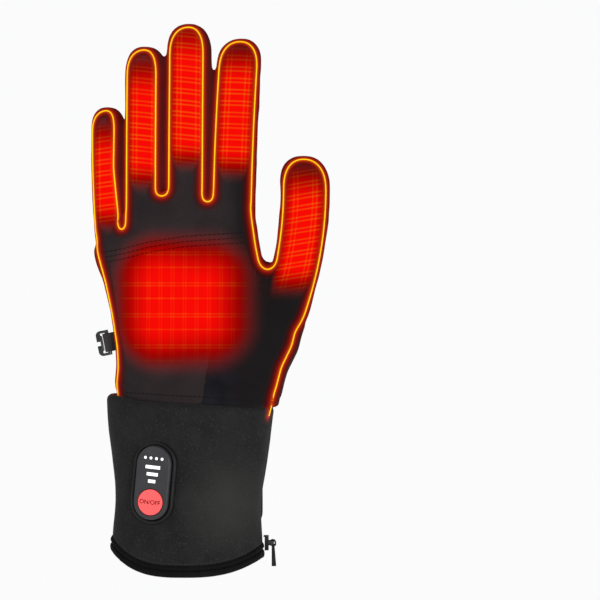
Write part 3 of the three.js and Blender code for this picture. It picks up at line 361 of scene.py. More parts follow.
thumb_lines = {
    "back": [(0.47, 0.9), (0.455, 0.66), (0.4, 0.585), (0.4, 0.41), (0.33, 0.36), (0.22, 0.335), (0.15, 0.28),
             (0.13, 0.2), (0.077, -0.08)],
    "palm": [(0.47, 0.9), (0.455, 0.66), (0.41, 0.585), (0.4, 0.49), (0.42, 0.38), (0.49, 0.27), (0.57, 0.18),
             (0.72, 0.1)],
}
layers = {}
seams = {}
for view, side in (("back", -1), ("palm", 1)):
    line = smooth_line(seam_line(view, -0.06), 0.4, 6)
    threads = [on_cloth(x, z, side)[0] for x, z in line]
    seams[view] = [p for p in threads if p is not None]
    spots = coordinates(hand)
    facing = np.array([v.normal.y for v in hand.verts]) * side > -0.15
    outline = list(map(tuple, line)) + [(line[-1][0], 60), (line[0][0], 60)]
    within = enclosed(outline, spots[:, 0], spots[:, 2]) & facing
    away = nearest(seams[view], spots)
    layer = layers[view] = hand.verts.layers.float.new(view)
    for v, d, w in zip(hand.verts, away, within):
        v[layer] = d + 1e-5 if w else -d - 1e-5
    cut_along(hand, layer)
    hand.normal_update()

    edge = smooth_line([(a * breadth, wrist_height + u * palm_length) for a, u in thumb_lines[view]], 0.5, 40)
    high = edge[0][1] + 60
    thumb_side = list(map(tuple, edge)) + [(edge[-1][0], 20), (200, 20), (200, high), (edge[0][0], high)]
    spots = coordinates(hand)
    beyond = enclosed(thumb_side, spots[:, 0], spots[:, 2])
    flat = nearest([Vector((x, 0, z)) for x, z in edge], [Vector((p[0], 0, p[2])) for p in spots])
    layer = layers["thumb_" + view] = hand.verts.layers.float.new("thumb_" + view)
    for v, d, w in zip(hand.verts, flat, beyond):
        v[layer] = d + 1e-5 if w else -d - 1e-5
    cut_along(hand, layer, among=layers[view])
    hand.normal_update()

# Shape of the cloth. It is drawn in along its seams, lies in soft waves over the hand, and creases where
# the thumb leaves the palm and above the cuff.
spots = coordinates(hand)
normals = np.array([v.normal[:] for v in hand.verts])
seam_depth = np.zeros(len(spots))
sewn = np.full(len(spots), 50.0)
for name in ("back", "palm"):
    away = np.abs(np.array([v[layers[name]] for v in hand.verts]))
    seam_depth -= 0.75 * np.exp(-(away / 1.0) ** 2)
    sewn = np.minimum(sewn, away)
    inner = np.array([v[layers[name]] for v in hand.verts]) > -1e-6
    away = np.where(inner, np.abs(np.array([v[layers["thumb_" + name]] for v in hand.verts])), 50.0)
    seam_depth -= 0.6 * np.exp(-(away / 0.9) ** 2)
    sewn = np.minimum(sewn, away)
waves = np.array([noise.noise(Vector(p) / 17) * 0.55 + noise.noise(Vector(p) / 7 + Vector((9, 4, 2))) * 0.16
                  for p in spots])
waves *= np.clip(sewn / 6, 0.15, 1)
# from and to in x and z, depth, width, and the side: -1 the back, 1 the palm
creases = [
    ((38.9, 173.5), (40.0, 161.5), 1.1, 1.1, -1),
    ((42.6, 172.0), (41.0, 165.0), 0.9, 0.9, -1),
    ((46.5, 169.0), (45.0, 158.0), 0.8, 1.2, -1),
    ((49.0, 160.0), (44.0, 150.0), 0.5, 1.6, -1),
    ((-38.0, 134.6), (-25.0, 129.6), 0.8, 1.5, -1),
    ((-36.0, 111.2), (-28.0, 107.0), 0.7, 1.4, -1),
    ((-32.0, 119.0), (-18.0, 114.0), 0.35, 2.0, -1),
    ((26.0, 113.0), (38.0, 108.0), 0.5, 1.6, -1),
    ((40.0, 176.0), (33.0, 158.0), 0.7, 1.4, 1),
    ((44.0, 170.0), (40.0, 152.0), 0.7, 1.4, 1),
    ((22.0, 140.0), (30.0, 120.0), 0.4, 2.0, 1),
    ((-40.0, 112.0), (-20.0, 106.0), 0.5, 1.8, 1),
]
folds = np.zeros(len(spots))
for start, end, depth, width, side in creases:
    start, end = np.array(start), np.array(end)
    way = end - start
    share = ((spots[:, [0, 2]] - start) @ way) / (way @ way)
    off = np.linalg.norm(spots[:, [0, 2]] - start - np.clip(share, 0, 1)[:, None] * way, axis=1)
    bowl = depth * np.exp(-((off / width) ** 2)) - 0.45 * depth * np.exp(-(((off - 2 * width) / width) ** 2))
    folds -= bowl * (normals[:, 1] * side > 0.1)
above_hem = spots[:, 2] - hem_line(spots[:, 0])
rolled = 0.55 * np.exp(-(((above_hem - 0.6) / 1.3) ** 2)) - 0.3 * np.exp(-(((above_hem - 4.2) / 0.8) ** 2))
for v, n, d in zip(hand.verts, normals, seam_depth + waves + folds + rolled):
    v.co += Vector(n) * float(d)
beside_seams = [v for v, gap in zip(hand.verts, sewn) if gap < 2.4 and not v.is_boundary]
for _ in range(4):  # the slivers that the cuts left are evened out
    bmesh.ops.smooth_vert(hand, verts=beside_seams, factor=0.5, use_axis_x=True, use_axis_y=True, use_axis_z=True)
hand.normal_update()
cloth_tree = bvhtree.BVHTree.FromBMesh(hand)

# Panels. Each stretch of the skin between seams becomes its own panel with a wall of cloth and fleece.
kinds = {"hand_back": [], "thumb_back": [], "hand_palm": [], "thumb_palm": [], "side_strips": []}
for face in hand.faces:
    middle_of = {name: sum(v[layer] for v in face.verts) for name, layer in layers.items()}
    if middle_of["back"] > 0:
        kinds["thumb_back" if middle_of["thumb_back"] > 0 else "hand_back"].append(face.index)
    elif middle_of["palm"] > 0:
        kinds["thumb_palm" if middle_of["thumb_palm"] > 0 else "hand_palm"].append(face.index)
    else:
        kinds["side_strips"].append(face.index)


def finish_piece(name, bm, finishes, body, slot, nodes=()):
    """A bmesh in mm as a finished piece of the glove, in metres."""
    bmesh.ops.scale(bm, vec=(MM, MM, MM), verts=bm.verts)
    data = bpy.data.meshes.new(name)
    bm.to_mesh(data)
    bm.free()
    data.polygons.foreach_set("use_smooth", [True] * len(data.polygons))
    for finish in finishes:
        data.materials.append(finish)
    piece = bpy.data.objects.new(name, data)
    studio.collection.objects.link(piece)
    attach(piece, body)
    if nodes:
        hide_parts(*nodes)
    return piece


def maths(tree, operation, *inputs):
    node = tree.nodes.new("ShaderNodeMath")
    node.operation = operation
    for socket, value in zip(node.inputs, inputs):
        if isinstance(value, (int, float)):
            socket.default_value = value
        else:
            tree.links.new(value, socket)
    return node.outputs[0]


def fade(tree, value, low, high, least=0.0, most=1.0):
    node = tree.nodes.new("ShaderNodeMapRange")
    node.interpolation_type = "SMOOTHSTEP"
    tree.links.new(value, node.inputs["Value"])
    for name, number in (("From Min", low), ("From Max", high), ("To Min", least), ("To Max", most)):
        node.inputs[name].default_value = number
    return node.outputs["Result"]


def reading(tree, name):
    node = tree.nodes.new("ShaderNodeAttribute")
    node.attribute_name = name
    return node.outputs["Fac"]


def tint(tree, share, low, high, way="MIX"):
    node = tree.nodes.new("ShaderNodeMix")
    node.data_type = "RGBA"
    node.blend_type = way
    for socket, value in ((node.inputs["Factor"], share), (node.inputs[6], low), (node.inputs[7], high)):
        if isinstance(value, (int, float)):
            socket.default_value = value
        elif isinstance(value, tuple):
            socket.default_value = (*value, 1)
        else:
            tree.links.new(value, socket)
    return node.outputs[2]


def mottle(tree, scale, detail=2.0, stretch=(1, 1, 1)):
    """Noise over the piece's own place in metres, so a scale of 1000 is a grain of a millimetre."""
    where = tree.nodes.new("ShaderNodeTexCoord")
    turned = tree.nodes.new("ShaderNodeMapping")
    turned.inputs["Scale"].default_value = stretch
    grain = tree.nodes.new("ShaderNodeTexNoise")
    grain.inputs["Scale"].default_value = scale
    grain.inputs["Detail"].default_value = detail
    tree.links.new(where.outputs["Object"], turned.inputs["Vector"])
    tree.links.new(turned.outputs["Vector"], grain.inputs["Vector"])
    return grain.outputs["Fac"]


def finish(name, colour, roughness, specular=0.2, sheen=0.0):
    """A material with its shader's steady values set. Colours are linear."""
    made = bpy.data.materials.new(name)
    made.use_nodes = True
    shader = made.node_tree.nodes["Principled BSDF"]
    shader.inputs["Base Color"].default_value = (*colour, 1)
    shader.inputs["Roughness"].default_value = roughness
    shader.inputs["Specular IOR Level"].default_value = specular
    shader.inputs["Sheen Weight"].default_value = sheen
    shader.inputs["Sheen Roughness"].default_value = 0.5
    return made, made.node_tree, shader


def painted(tree, shader, colour):
    tree.links.new(colour, shader.inputs["Base Color"])


def glow(tree, shader, light):
    tree.links.new(light, shader.inputs["Emission Color"])
    shader.inputs["Emission Strength"].default_value = 1.0


def base_of(shader):
    """What a shader's colour is linked to so far."""
    return shader.inputs["Base Color"].links[0].from_socket


def bump_of(shader):
    """A shader's bump, and what its height is linked to so far."""
    bump = shader.inputs["Normal"].links[0].from_node
    return bump, bump.inputs["Height"].links[0].from_socket


def relief(tree, shader, height, depth, strength=1.0):
    """Bumps a surface by a height from 0 to 1, depth metres deep."""
    bump = tree.nodes.new("ShaderNodeBump")
    bump.inputs["Strength"].default_value = strength
    bump.inputs["Distance"].default_value = depth
    tree.links.new(height, bump.inputs["Height"])
    tree.links.new(bump.outputs["Normal"], shader.inputs["Normal"])


def clothlike(name, dark, light, grain, roughness=0.88, sheen=0.03, specular=0.1):
    """Cloth whose colour is uneven at two scales, with a knitted grain in its bump."""
    made, tree, shader = finish(name, dark, roughness, specular, sheen)
    coarse, fine = mottle(tree, 90, 3), mottle(tree, 1600, 2)
    uneven = maths(tree, "MULTIPLY_ADD", coarse, 0.6, maths(tree, "MULTIPLY", fine, 0.4))
    painted(tree, shader, tint(tree, fade(tree, uneven, 0.3, 0.7), dark, light))
    wales = mottle(tree, grain, 1, (1, 1, 0.45))
    relief(tree, shader, wales, 0.0003, 0.5)
    return made, tree, shader


# Heat. The warm zones glow red through the cloth in a grid of heating threads, and the wire along the
# seams lights a narrow band of cloth at its two sides. Every panel carries these as values of its points.
spots = coordinates(hand)
x, z = spots[:, 0], spots[:, 2]
on_back = np.array([v[layers["back"]] for v in hand.verts]) > -1e-6
on_palm = ~on_back & (np.array([v[layers["palm"]] for v in hand.verts]) > -1e-6)


def ease(value, low, high):
    t = np.clip((value - low) / (high - low), 0, 1)
    return t * t * (3 - 2 * t)


# each digit's warm zone: its lower end on the back and on the palm, how bright its tip is, over what
# length it brightens, and how far its cross threads slope
warm = {pinky: (198.8, 188.0, 0.10, 30, -0.14), ring: (221.8, 209.0, 0.20, 30, 0.105),
        middle: (233.0, 209.0, 0.50, 24, 0.105), index: (228.5, 209.0, 0.25, 26, 0.035),
        thumb: (163.5, 165.0, 0.20, 28, -0.17)}
heat, on_digit, thread_u, thread_v = (np.zeros(len(spots)) for _ in range(4))
for digit, (low_back, low_palm, tip_light, tip_run, slope) in warm.items():
    centre, _, half, _ = digit.section(z)
    across = np.abs(x - centre) / half
    low_end = np.where(on_palm, low_palm, low_back)
    mask = ease(z, low_end - 11, low_end + 11) * (across < 1.05) * (z > digit.root_z) * (z < digit.tip_z + 4)
    mask = mask * (tip_light + (1 - tip_light) * ease(digit.tip_z - z, 0, tip_run))
    mask = mask * (1 - 0.38 * ease(across, 0.42, 0.82))
    mask = mask * (1 - ease(across, 0.7, 1.0) * ease(digit.crotch_z + 9 - z, 0, 6)) if digit is thumb else mask
    mask = np.where(on_back | on_palm, mask, 0)
    wins = mask > heat
    heat = np.where(wins, mask, heat)
    near = (across < 1.05) & (z > low_end - 18) & (on_back | on_palm)
    on_digit = np.where(near, 1.0, on_digit)
    thread_u = np.where(near, (x - centre + 6.2) / 10.6, thread_u)
    thread_v = np.where(near, (z + slope * (x - centre)) / 6.44, thread_v)
corner = 24.0
away_x, away_z = np.abs(x + 1.7) - (37.7 - corner), np.abs(z - 154.3) - (35.5 - corner)
outside = np.hypot(np.maximum(away_x, 0), np.maximum(away_z, 0)) + np.minimum(np.maximum(away_x, away_z), 0) - corner
full_from = -21 - 5 * ease(x, -20, 20)  # it fades more slowly to the thumb's side
zone = np.where(on_back, (1 - ease(outside, full_from, 10)) ** 0.85, 0)
on_digit = np.where(zone > heat, 0.0, on_digit)
heat = np.maximum(zone, heat)
thread_u = np.where(on_digit > 0.5, thread_u, (x + 2.0) / 6.72)
thread_v = np.where(on_digit > 0.5, thread_v, (164.6 - z) / 17.2)

# Form of the cuff, which the wire's last run at the thumb's side lies over.
cuff_width, cuff_depth, hem_rise, hem_height = 94, 62, 14, 8.5
# share up the cuff, its width and depth as shares of the whole, its shift to the thumb as a share of the width
cuff_rows = np.array([
    [0.00, 0.895, 0.980, -0.006],
    [0.22, 0.870, 0.950, -0.002],
    [0.36, 0.870, 0.940, 0.001],
    [0.52, 0.905, 0.950, 0.007],
    [0.80, 0.976, 0.985, 0.005],
    [1.00, 1.003, 0.985, 0.0115],
])
slit_middle, slit_half = -22, 6
springing = wrist_height - 10 - slit_half


def cuff_at(column, up):
    """A column of the cuff's rows, eased where they bend."""
    return float(sum(np.interp(up + d, cuff_rows[:, 0], cuff_rows[:, column]) for d in (-0.05, 0, 0.05)) / 3)


def hem_low(turn):
    c = math.cos(turn)
    return hem_rise * abs(c) ** 3 if c < 0 else 0.7 * hem_rise * c ** 2.5  # the zip's end hangs lower


def cuff_point(turn, up, out=0.0):
    c, s = rounded(turn, 2.15)
    x = cuff_at(3, up) * cuff_width + (cuff_at(1, up) * cuff_width / 2 + out) * c
    low = hem_low(turn) + hem_height + 0.35
    return Vector((x, (cuff_at(2, up) * cuff_depth / 2 + out) * s, low + up * (hem_line(x) - low)))


def cuff_turn(x, z, side=1):
    """Where round the cuff and how far up it a place is, seen from the palm (1) or the back (-1)."""
    turn = side * math.pi / 2
    for _ in range(12):
        low = hem_low(turn) + hem_height + 0.35
        up = min(1.0, max(0.0, (z - low) / (hem_line(x) - low)))
        share = (x - cuff_at(3, up) * cuff_width) / (cuff_at(1, up) * cuff_width / 2)
        turn = side * math.acos(math.copysign(min(abs(share), 0.9999) ** (2.15 / 2), share))
    return turn, up


def cuff_skin(x, z, out, side=1):
    point = cuff_point(*cuff_turn(x, z, side), out)
    point.z = z
    return point


wire_runs = {}
for view, side in (("back", -1), ("palm", 1)):
    line = smooth_line(seam_line(view, 0.03 if view == "palm" else 0.02), 0.8, 4)
    found = [(p, n) for p, n in (on_cloth(px, pz, side) for px, pz in line) if p is not None]
    run_out = found[-1][0]
    for share in (0.35, 0.6, 0.8, 1.0):
        z_there = run_out.z + (90.5 - run_out.z) * share
        p = cuff_skin(run_out.x + (45.0 - run_out.x) * share, z_there, 0.25 + 0.6 * (1 - share), side)
        found.append((p, Vector((p.x * 0.4, p.y, 0)).normalized()))
    points, ups = [p for p, _ in found], [n for _, n in found]
    for _ in range(6):
        points = [points[0]] + [(a + b * 2 + c) / 4 for a, b, c in zip(points, points[1:], points[2:])] + [points[-1]]
        ups = [ups[0]] + [(a + b * 2 + c).normalized() for a, b, c in zip(ups, ups[1:], ups[2:])] + [ups[-1]]
    wire_runs[view] = list(zip(points, ups))
shallow = Matrix.Diagonal((1, 0.24, 1))  # its light reaches further round the edge of the hand
wire_gap = nearest([shallow @ p for run in wire_runs.values() for p, _ in run], [shallow @ Vector(p) for p in spots])
row_x, row_z = (-47, -35.3, -21.3, -1.7, 33), (181.7, 183.8, 187.3, 190.4, 192.9)
row_gap = np.where(on_back & (x < 33.5), np.interp(x, row_x, row_z) - z, 50)
values = {"row_gap": row_gap, "warmth": heat, "on_digit": on_digit, "thread_u": thread_u, "thread_v": thread_v,
          "wire_gap": wire_gap}
carried = {name: hand.verts.layers.float.new(name) for name in values}
for name, column in values.items():
    layer = carried[name]
    for v, value in zip(hand.verts, column):
        v[layer] = value


def dashes(tree, gap, run, rows, pitch, width=0.3, share=0.62):
    """Rows of stitches: 1 on a thread, 0 off it. gap is the way across the rows, run the way along them."""
    beat = maths(tree, "PINGPONG", maths(tree, "DIVIDE", run, pitch), 0.5)
    apart = None
    for row in rows:
        off = maths(tree, "ABSOLUTE", maths(tree, "SUBTRACT", gap, row))
        apart = off if apart is None else maths(tree, "MINIMUM", apart, off)
    on_thread = fade(tree, beat, share / 2, share / 2 + 0.12, 1, 0)
    return maths(tree, "MULTIPLY", fade(tree, apart, width * 0.5, width * 1.3, 1, 0), on_thread)


def halo(tree):
    """The light that the wire throws on the cloth beside it, by the distance from its middle in mm."""
    ramp = tree.nodes.new("ShaderNodeValToRGB")
    stops = [(0.0, (0.80, 0.25, 0.004)), (0.35, (0.68, 0.15, 0.004)), (0.7, (0.48, 0.055, 0.004)),
             (1.15, (0.35, 0.018, 0.004)),
             (1.9, (0.215, 0.006, 0.003)), (2.7, (0.115, 0.003, 0.002)), (3.4, (0.055, 0.001, 0.001)),
             (4.3, (0.02, 0.0, 0.0)), (6.0, (0.0, 0.0, 0.0))]
    for element, (place, colour) in zip(ramp.color_ramp.elements, (stops[0], stops[-1])):
        element.position, element.color = place / 6, (*colour, 1)
    for place, colour in stops[1:-1]:
        ramp.color_ramp.elements.new(place / 6).color = (*colour, 1)
    tree.links.new(maths(tree, "DIVIDE", reading(tree, "wire_gap"), 6.0), ramp.inputs["Fac"])
    return ramp.outputs["Color"]


def glowing(tree, shader):
    """Adds the red zones with their threads, and the light of the wire, to a cloth's shader."""
    mask, digit = reading(tree, "warmth"), reading(tree, "on_digit")

    def thread(phase, offset, period, width):
        apart = maths(tree, "PINGPONG", maths(tree, "SUBTRACT", phase, offset), 0.5)
        return fade(tree, maths(tree, "MULTIPLY", apart, period), 0.1 * width, width, 1, 0)

    wide = maths(tree, "MULTIPLY_ADD", digit, 3.9, 6.7)
    tall = maths(tree, "MULTIPLY_ADD", digit, -10.8, 17.2)
    u, v = reading(tree, "thread_u"), reading(tree, "thread_v")
    ups = maths(tree, "MAXIMUM", thread(u, 0.0, wide, 0.75), thread(u, 0.21, wide, 0.75))
    pair = thread(v, maths(tree, "MULTIPLY_ADD", digit, 0.26, 0.09), tall, 0.8)
    single = maths(tree, "MULTIPLY", thread(v, 0.5, tall, 0.8), maths(tree, "SUBTRACT", 1.0, digit))
    overs = maths(tree, "MAXIMUM", maths(tree, "MAXIMUM", thread(v, 0.0, tall, 0.8), pair), single)
    bold = maths(tree, "MULTIPLY_ADD", digit, 0.3, 0.4)  # the threads show less over the hand
    crossed = maths(tree, "MULTIPLY_ADD", ups, 0.55, maths(tree, "MULTIPLY", overs, 0.85))
    threads = maths(tree, "MULTIPLY", crossed, bold)
    threads = maths(tree, "MULTIPLY", threads, maths(tree, "MULTIPLY_ADD", mottle(tree, 60, 1), 1.2, 0.35))
    warmth = maths(tree, "POWER", mask, 1.75)
    red = tint(tree, fade(tree, threads, 0.0, 1.1), (0.94, 0.003, 0.0015), (0.90, 0.088, 0.003))
    zone_light = tint(tree, warmth, (0, 0, 0), red)
    place = tree.nodes.new("ShaderNodeTexCoord")
    axes = tree.nodes.new("ShaderNodeSeparateXYZ")
    tree.links.new(place.outputs["Object"], axes.inputs["Vector"])
    across = maths(tree, "MULTIPLY", axes.outputs["X"], 1000)
    slope = maths(tree, "MULTIPLY_ADD", across, 0.05, -wrist_height)
    above_hem = maths(tree, "MULTIPLY_ADD", axes.outputs["Z"], 1000, slope)
    rows = dashes(tree, reading(tree, "row_gap"), across, [0.0, 2.9, 5.7], 2.5, 0.34)
    edge_row = dashes(tree, above_hem, across, [4.2], 2.4, 0.26)
    thread = maths(tree, "MAXIMUM", rows, edge_row)
    zone_light = tint(tree, maths(tree, "MULTIPLY", thread, 0.6), zone_light, (0.0, 0.0, 0.0))
    base = base_of(shader)
    thread_colour = tint(tree, thread, base, (0.004, 0.004, 0.004))
    lit = fade(tree, reading(tree, "wire_gap"), 1.5, 6.5, 0.85, 0.0)
    hidden = maths(tree, "MAXIMUM", fade(tree, mask, 0.1, 0.6), lit)
    shaded = tint(tree, fade(tree, across, 18, 33), thread_colour, (0.006, 0.0045, 0.005))
    painted(tree, shader, tint(tree, hidden, shaded, (0.0, 0.0, 0.0)))
    for name in ("Sheen Weight", "Specular IOR Level"):
        tree.links.new(fade(tree, hidden, 0, 1, shader.inputs[name].default_value, 0.0), shader.inputs[name])
    bump, cloth = bump_of(shader)
    tree.links.new(maths(tree, "MULTIPLY_ADD", thread, -1.3, cloth), bump.inputs["Height"])
    light = tint(tree, 1.0, zone_light, halo(tree), "LIGHTEN")
    glow(tree, shader, light)


stretch_cloth, tree, shader = clothlike("stretch_cloth", (0.0150, 0.0108, 0.0118), (0.0215, 0.0155, 0.0165), 1500)
glowing(tree, shader)
thumb_cloth, tree, shader = clothlike("thumb_cloth", (0.0035, 0.0035, 0.005), (0.009, 0.009, 0.0125), 900, 0.9)
glowing(tree, shader)
fleece = clothlike("fleece", (0.012, 0.012, 0.012), (0.03, 0.03, 0.03), 700, 0.95)[0]

# Grip print. The palm's cloth carries raised, glossy lines of silicone in a honeycomb.
grip_cloth, tree, shader = clothlike("grip_cloth", (0.0085, 0.0085, 0.0095), (0.013, 0.013, 0.014), 1500)
where = tree.nodes.new("ShaderNodeTexCoord")
honeycomb_pitch = 6.2 * MM
turned = tree.nodes.new("ShaderNodeMapping")
turned.inputs["Rotation"].default_value = (math.radians(90), 0, math.radians(-14))
turned.inputs["Scale"].default_value = (1 / honeycomb_pitch,) * 3
tree.links.new(where.outputs["Object"], turned.inputs["Vector"])
flat = tree.nodes.new("ShaderNodeSeparateXYZ")
tree.links.new(turned.outputs["Vector"], flat.inputs["Vector"])


def cell_edge(offset_u, offset_v):
    """How far a point is from the middle of its cell in one of the two square lattices, folded to one side."""
    u = maths(tree, "PINGPONG", maths(tree, "ADD", flat.outputs["X"], offset_u), math.sqrt(3) / 2)
    v = maths(tree, "PINGPONG", maths(tree, "ADD", flat.outputs["Y"], offset_v), 0.5)
    slanted = maths(tree, "MULTIPLY_ADD", u, math.sqrt(3) / 2, maths(tree, "MULTIPLY", v, 0.5))
    return maths(tree, "MAXIMUM", v, slanted)


edge = maths(tree, "MINIMUM", cell_edge(0, 0), cell_edge(math.sqrt(3) / 2, 0.5))
print_line = fade(tree, edge, 0.455, 0.485)
worn = fade(tree, mottle(tree, 35, 2), 0.35, 0.6, 0.35, 1.0)
base = base_of(shader)
painted(tree, shader, tint(tree, maths(tree, "MULTIPLY", print_line, worn), base, (0.05, 0.05, 0.052)))
tree.links.new(fade(tree, print_line, 0, 1, 0.85, 0.3), shader.inputs["Roughness"])
relief(tree, shader, maths(tree, "MULTIPLY_ADD", bump_of(shader)[1], 0.35, print_line), 0.0005, 0.8)
shader.inputs["Specular IOR Level"].default_value = 0.5
glowing(tree, shader)

panel_finish = {
    "hand_back": (stretch_cloth, "stretch_fabric", ["back_panel"]),
    "thumb_back": (thumb_cloth, "thumb_fabric", ["thumb_back_panel"]),
    "hand_palm": (grip_cloth, "grip_fabric", ["palm_panel"]),
    "thumb_palm": (grip_cloth, "grip_fabric", ["thumb_palm_panel"]),
    "side_strips": (stretch_cloth, "stretch_fabric", [
        "pinky_side_strip", "pinky_ring_fourchette", "ring_middle_fourchette", "middle_index_fourchette",
        "index_thumb_strip", "thumb_side_strip"]),
}


def walled(piece, thickness):
    """Gives an open piece a wall inwards, in mm, with its last material inside."""
    wall = piece.modifiers.new("wall", "SOLIDIFY")
    wall.thickness = thickness * MM
    wall.offset = -1
    wall.material_offset = len(piece.data.materials) - 1
    return wall


for kind, indices in kinds.items():
    panel = hand.copy()
    keep = set(indices)
    bmesh.ops.delete(panel, geom=[f for f in panel.faces if f.index not in keep], context="FACES")
    cloth, slot, nodes = panel_finish[kind]
    piece = finish_piece(kind, panel, [cloth, fleece], "glove", slot, nodes)
    walled(piece, 1.3).use_quality_normals = True

# Heating wire. A thin glowing wire is couched along the seam round every finger, on the back and palm.
wire_light, tree, shader = finish("glowing_wire", (0.5, 0.2, 0.0), 0.5)
glow(tree, shader, tint(tree, mottle(tree, 300, 1), (0.95, 0.50, 0.003), (1.0, 0.66, 0.006)))


def tube_along(points, ups, radius, sides, taper=0):
    """A closed sleeve bent along points. ups gives its outward direction at each. Its ends are rounded off over
    taper stations. Its points' run becomes their way along it in mm."""
    count = len(points) - 1
    runs = [(points[min(i + 1, count)] - points[max(i - 1, 0)]).normalized() for i in range(count + 1)]

    def place(turn, along):
        i = int(round(along * count))
        out = (ups[i] - runs[i] * ups[i].dot(runs[i])).normalized()
        short = 1 - min(i, count - i, taper) / taper if taper else 0
        size = radius * math.sqrt(1 - 0.75 * short * short)
        return points[i] + size * (runs[i].cross(out) * math.cos(turn) + out * math.sin(turn))
    bm = sleeve(sides, count, place)
    length = sum((b - a).length for a, b in zip(points, points[1:]))
    for v in bm.verts:
        v[bm.verts.layers.float["run"]] *= length
    return bm


for view, found in wire_runs.items():
    wire = tube_along([p + n * 0.2 for p, n in found], [n for _, n in found], 0.28, 8)
    name = "heating_wire_" + view
    finish_piece(name + "_sewn", wire, [wire_light], "glove", "heating_wire", [name])

# Cuff. A padded sheet of neoprene in fine jersey, wide at the hand, drawn in above the hem and split at the
# palm's side. Its top edge rolls over under the hand's cloth, and a flat seam runs up the thumb's side.

def cuff_sheet(turn, along):
    lip = 3.4
    over = max(0.0, along / 0.06 - 0.94 / 0.06) * math.pi / 2
    point = cuff_point(turn, min(1.0, along / 0.94) * (1 - lip / 88), -lip * (1 - math.cos(over)))
    point.z += lip * math.sin(over) + 2.2 * along ** 4 * float(ease(-point.x, 22, 46))
    swell = noise.noise(point / 26) * 0.5 + noise.noise(point / 9) * 0.12
    seam = math.exp(-((point.y / 0.9) ** 2)) * 0.8 - math.exp(-(((abs(point.y) - 2.6) / 1.1) ** 2)) * 0.25
    out = (swell * min(1, 6 * along) - (seam if point.x > 0 else 0)) * (1 - over / math.pi)
    return point + Vector((math.cos(turn), math.sin(turn), 0)) * out


cuff = sleeve(168, 72, cuff_sheet, closed=False)
slit = cuff.verts.layers.float.new("slit")
lift = cuff.verts.layers.float.new("lift")
run = cuff.verts.layers.float["run"]
for v in cuff.verts:
    aside, above = v.co.x - slit_middle, max(0.0, v.co.z - springing)
    v[slit] = slit_half + 0.9 - math.hypot(aside, above) + 1e-5 if v.co.y > 0 else -50.0
    turn = v[cuff.verts.layers.float["turn"]]
    v[lift] = v.co.z - hem_low(turn) - hem_height
    v[run] = ((turn - 2.0) % (2 * math.pi)) * 42
gaps = cuff.verts.layers.float.new("wire_gap")
wire_places = [p for found in wire_runs.values() for p, _ in found]
for v, gap in zip(cuff.verts, nearest(wire_places, [v.co for v in cuff.verts])):
    v[gaps] = gap
cut_along(cuff, slit)
bmesh.ops.delete(cuff, geom=[f for f in cuff.faces if sum(v[slit] for v in f.verts) > 0], context="FACES")


def sewn_on(tree, shader, thread, colour, height=1.2):
    """Lays stitches over a cloth: their colour, and their place in its bump."""
    base = base_of(shader)
    painted(tree, shader, tint(tree, thread, base, colour))
    bump, cloth = bump_of(shader)
    tree.links.new(maths(tree, "MULTIPLY_ADD", thread, height, cloth), bump.inputs["Height"])


neoprene, tree, shader = clothlike(
    "neoprene", (0.0075, 0.0075, 0.0078), (0.0135, 0.0135, 0.0135), 2100, 0.85, 0.035, 0.12)
speck = fade(tree, mottle(tree, 1300, 0), 0.68, 0.76)
base = base_of(shader)
place = tree.nodes.new("ShaderNodeTexCoord")
wear_and_highlight = tree.nodes.new("ShaderNodeVectorMath")  # painted highlight: the neoprene is painted lighter round a spot near the thumb's side of the back, where the light from the right falls
wear_and_highlight.operation = "DISTANCE"
wear_and_highlight.inputs[1].default_value = (0.026, -0.03, 0.042)
tree.links.new(place.outputs["Object"], wear_and_highlight.inputs[0])
# painted highlight: up to 0.55 of the way to a pale grey, fading out from 4 to 36 mm off the spot's middle
painted_highlight = maths(tree, "MULTIPLY", fade(tree, wear_and_highlight.outputs["Value"], 0.004, 0.036, 1, 0), 0.55)
specked = tint(tree, speck, base, (0.024, 0.025, 0.021))
# dust specks on the nap, with the pale grey of the painted highlight laid over them
painted(tree, shader, tint(tree, painted_highlight, specked, (0.035, 0.0345, 0.0325)))
thread = dashes(tree, reading(tree, "lift"), reading(tree, "run"), [1.6], 2.6)
sewn_on(tree, shader, thread, (0.022, 0.022, 0.022))
glow(tree, shader, halo(tree))
cuff_piece = finish_piece("padded_cuff", cuff, [neoprene, fleece], "glove", "neoprene", ["cuff"])
walled(cuff_piece, 3.0)

# Hem. Two rolls of jersey go round the cuff's mouth, from one edge of the slit to the other, with the zip
# hidden in the groove between them.
hem_thickness = 5.2
hem_rolls = [(0, 0.1), (0.5, 0.0), (0.93, 0.06), (1.0, 0.3), (0.94, 0.5), (0.72, 0.58), (0.92, 0.66), (0.96, 0.8),
             (0.78, 1.0), (0, 1.0)]


def softened(corners, passes):
    """A closed outline with its corners cut away again and again."""
    for _ in range(passes):
        corners = [tuple(a * (1 - t) + b * t for a, b in zip(p, q))
                   for p, q in zip(corners, corners[1:] + corners[:1]) for t in (0.25, 0.75)]
    return corners


hem_outline = softened(hem_rolls, 2)
hem_from = cuff_turn(slit_middle + slit_half + 1, hem_height)[0]
hem_to = cuff_turn(slit_middle - slit_half - 1, hem_height)[0] - 2 * math.pi


def hem_place(turn, along):
    out, up = hem_outline[int(round(turn / (2 * math.pi) * len(hem_outline))) % len(hem_outline)]
    around = hem_from + (hem_to - hem_from) * along
    proud = 0.65 * (hem_thickness - 3.0)
    point = cuff_point(around, 0, proud - (1 - out) * hem_thickness)
    short = 2.4 * max(0.0, -math.sin(around)) ** 0.6  # its rolls are slimmer across the back
    point.z = hem_low(around) + short + up * (hem_height + 0.8 - short)  # it laps over the cuff's edge
    gather = noise.noise(Vector((along * 60, out * 2, up * 3))) * 0.16
    return point + Vector((math.cos(around), math.sin(around), 0)) * (gather if out > 0.4 else 0)


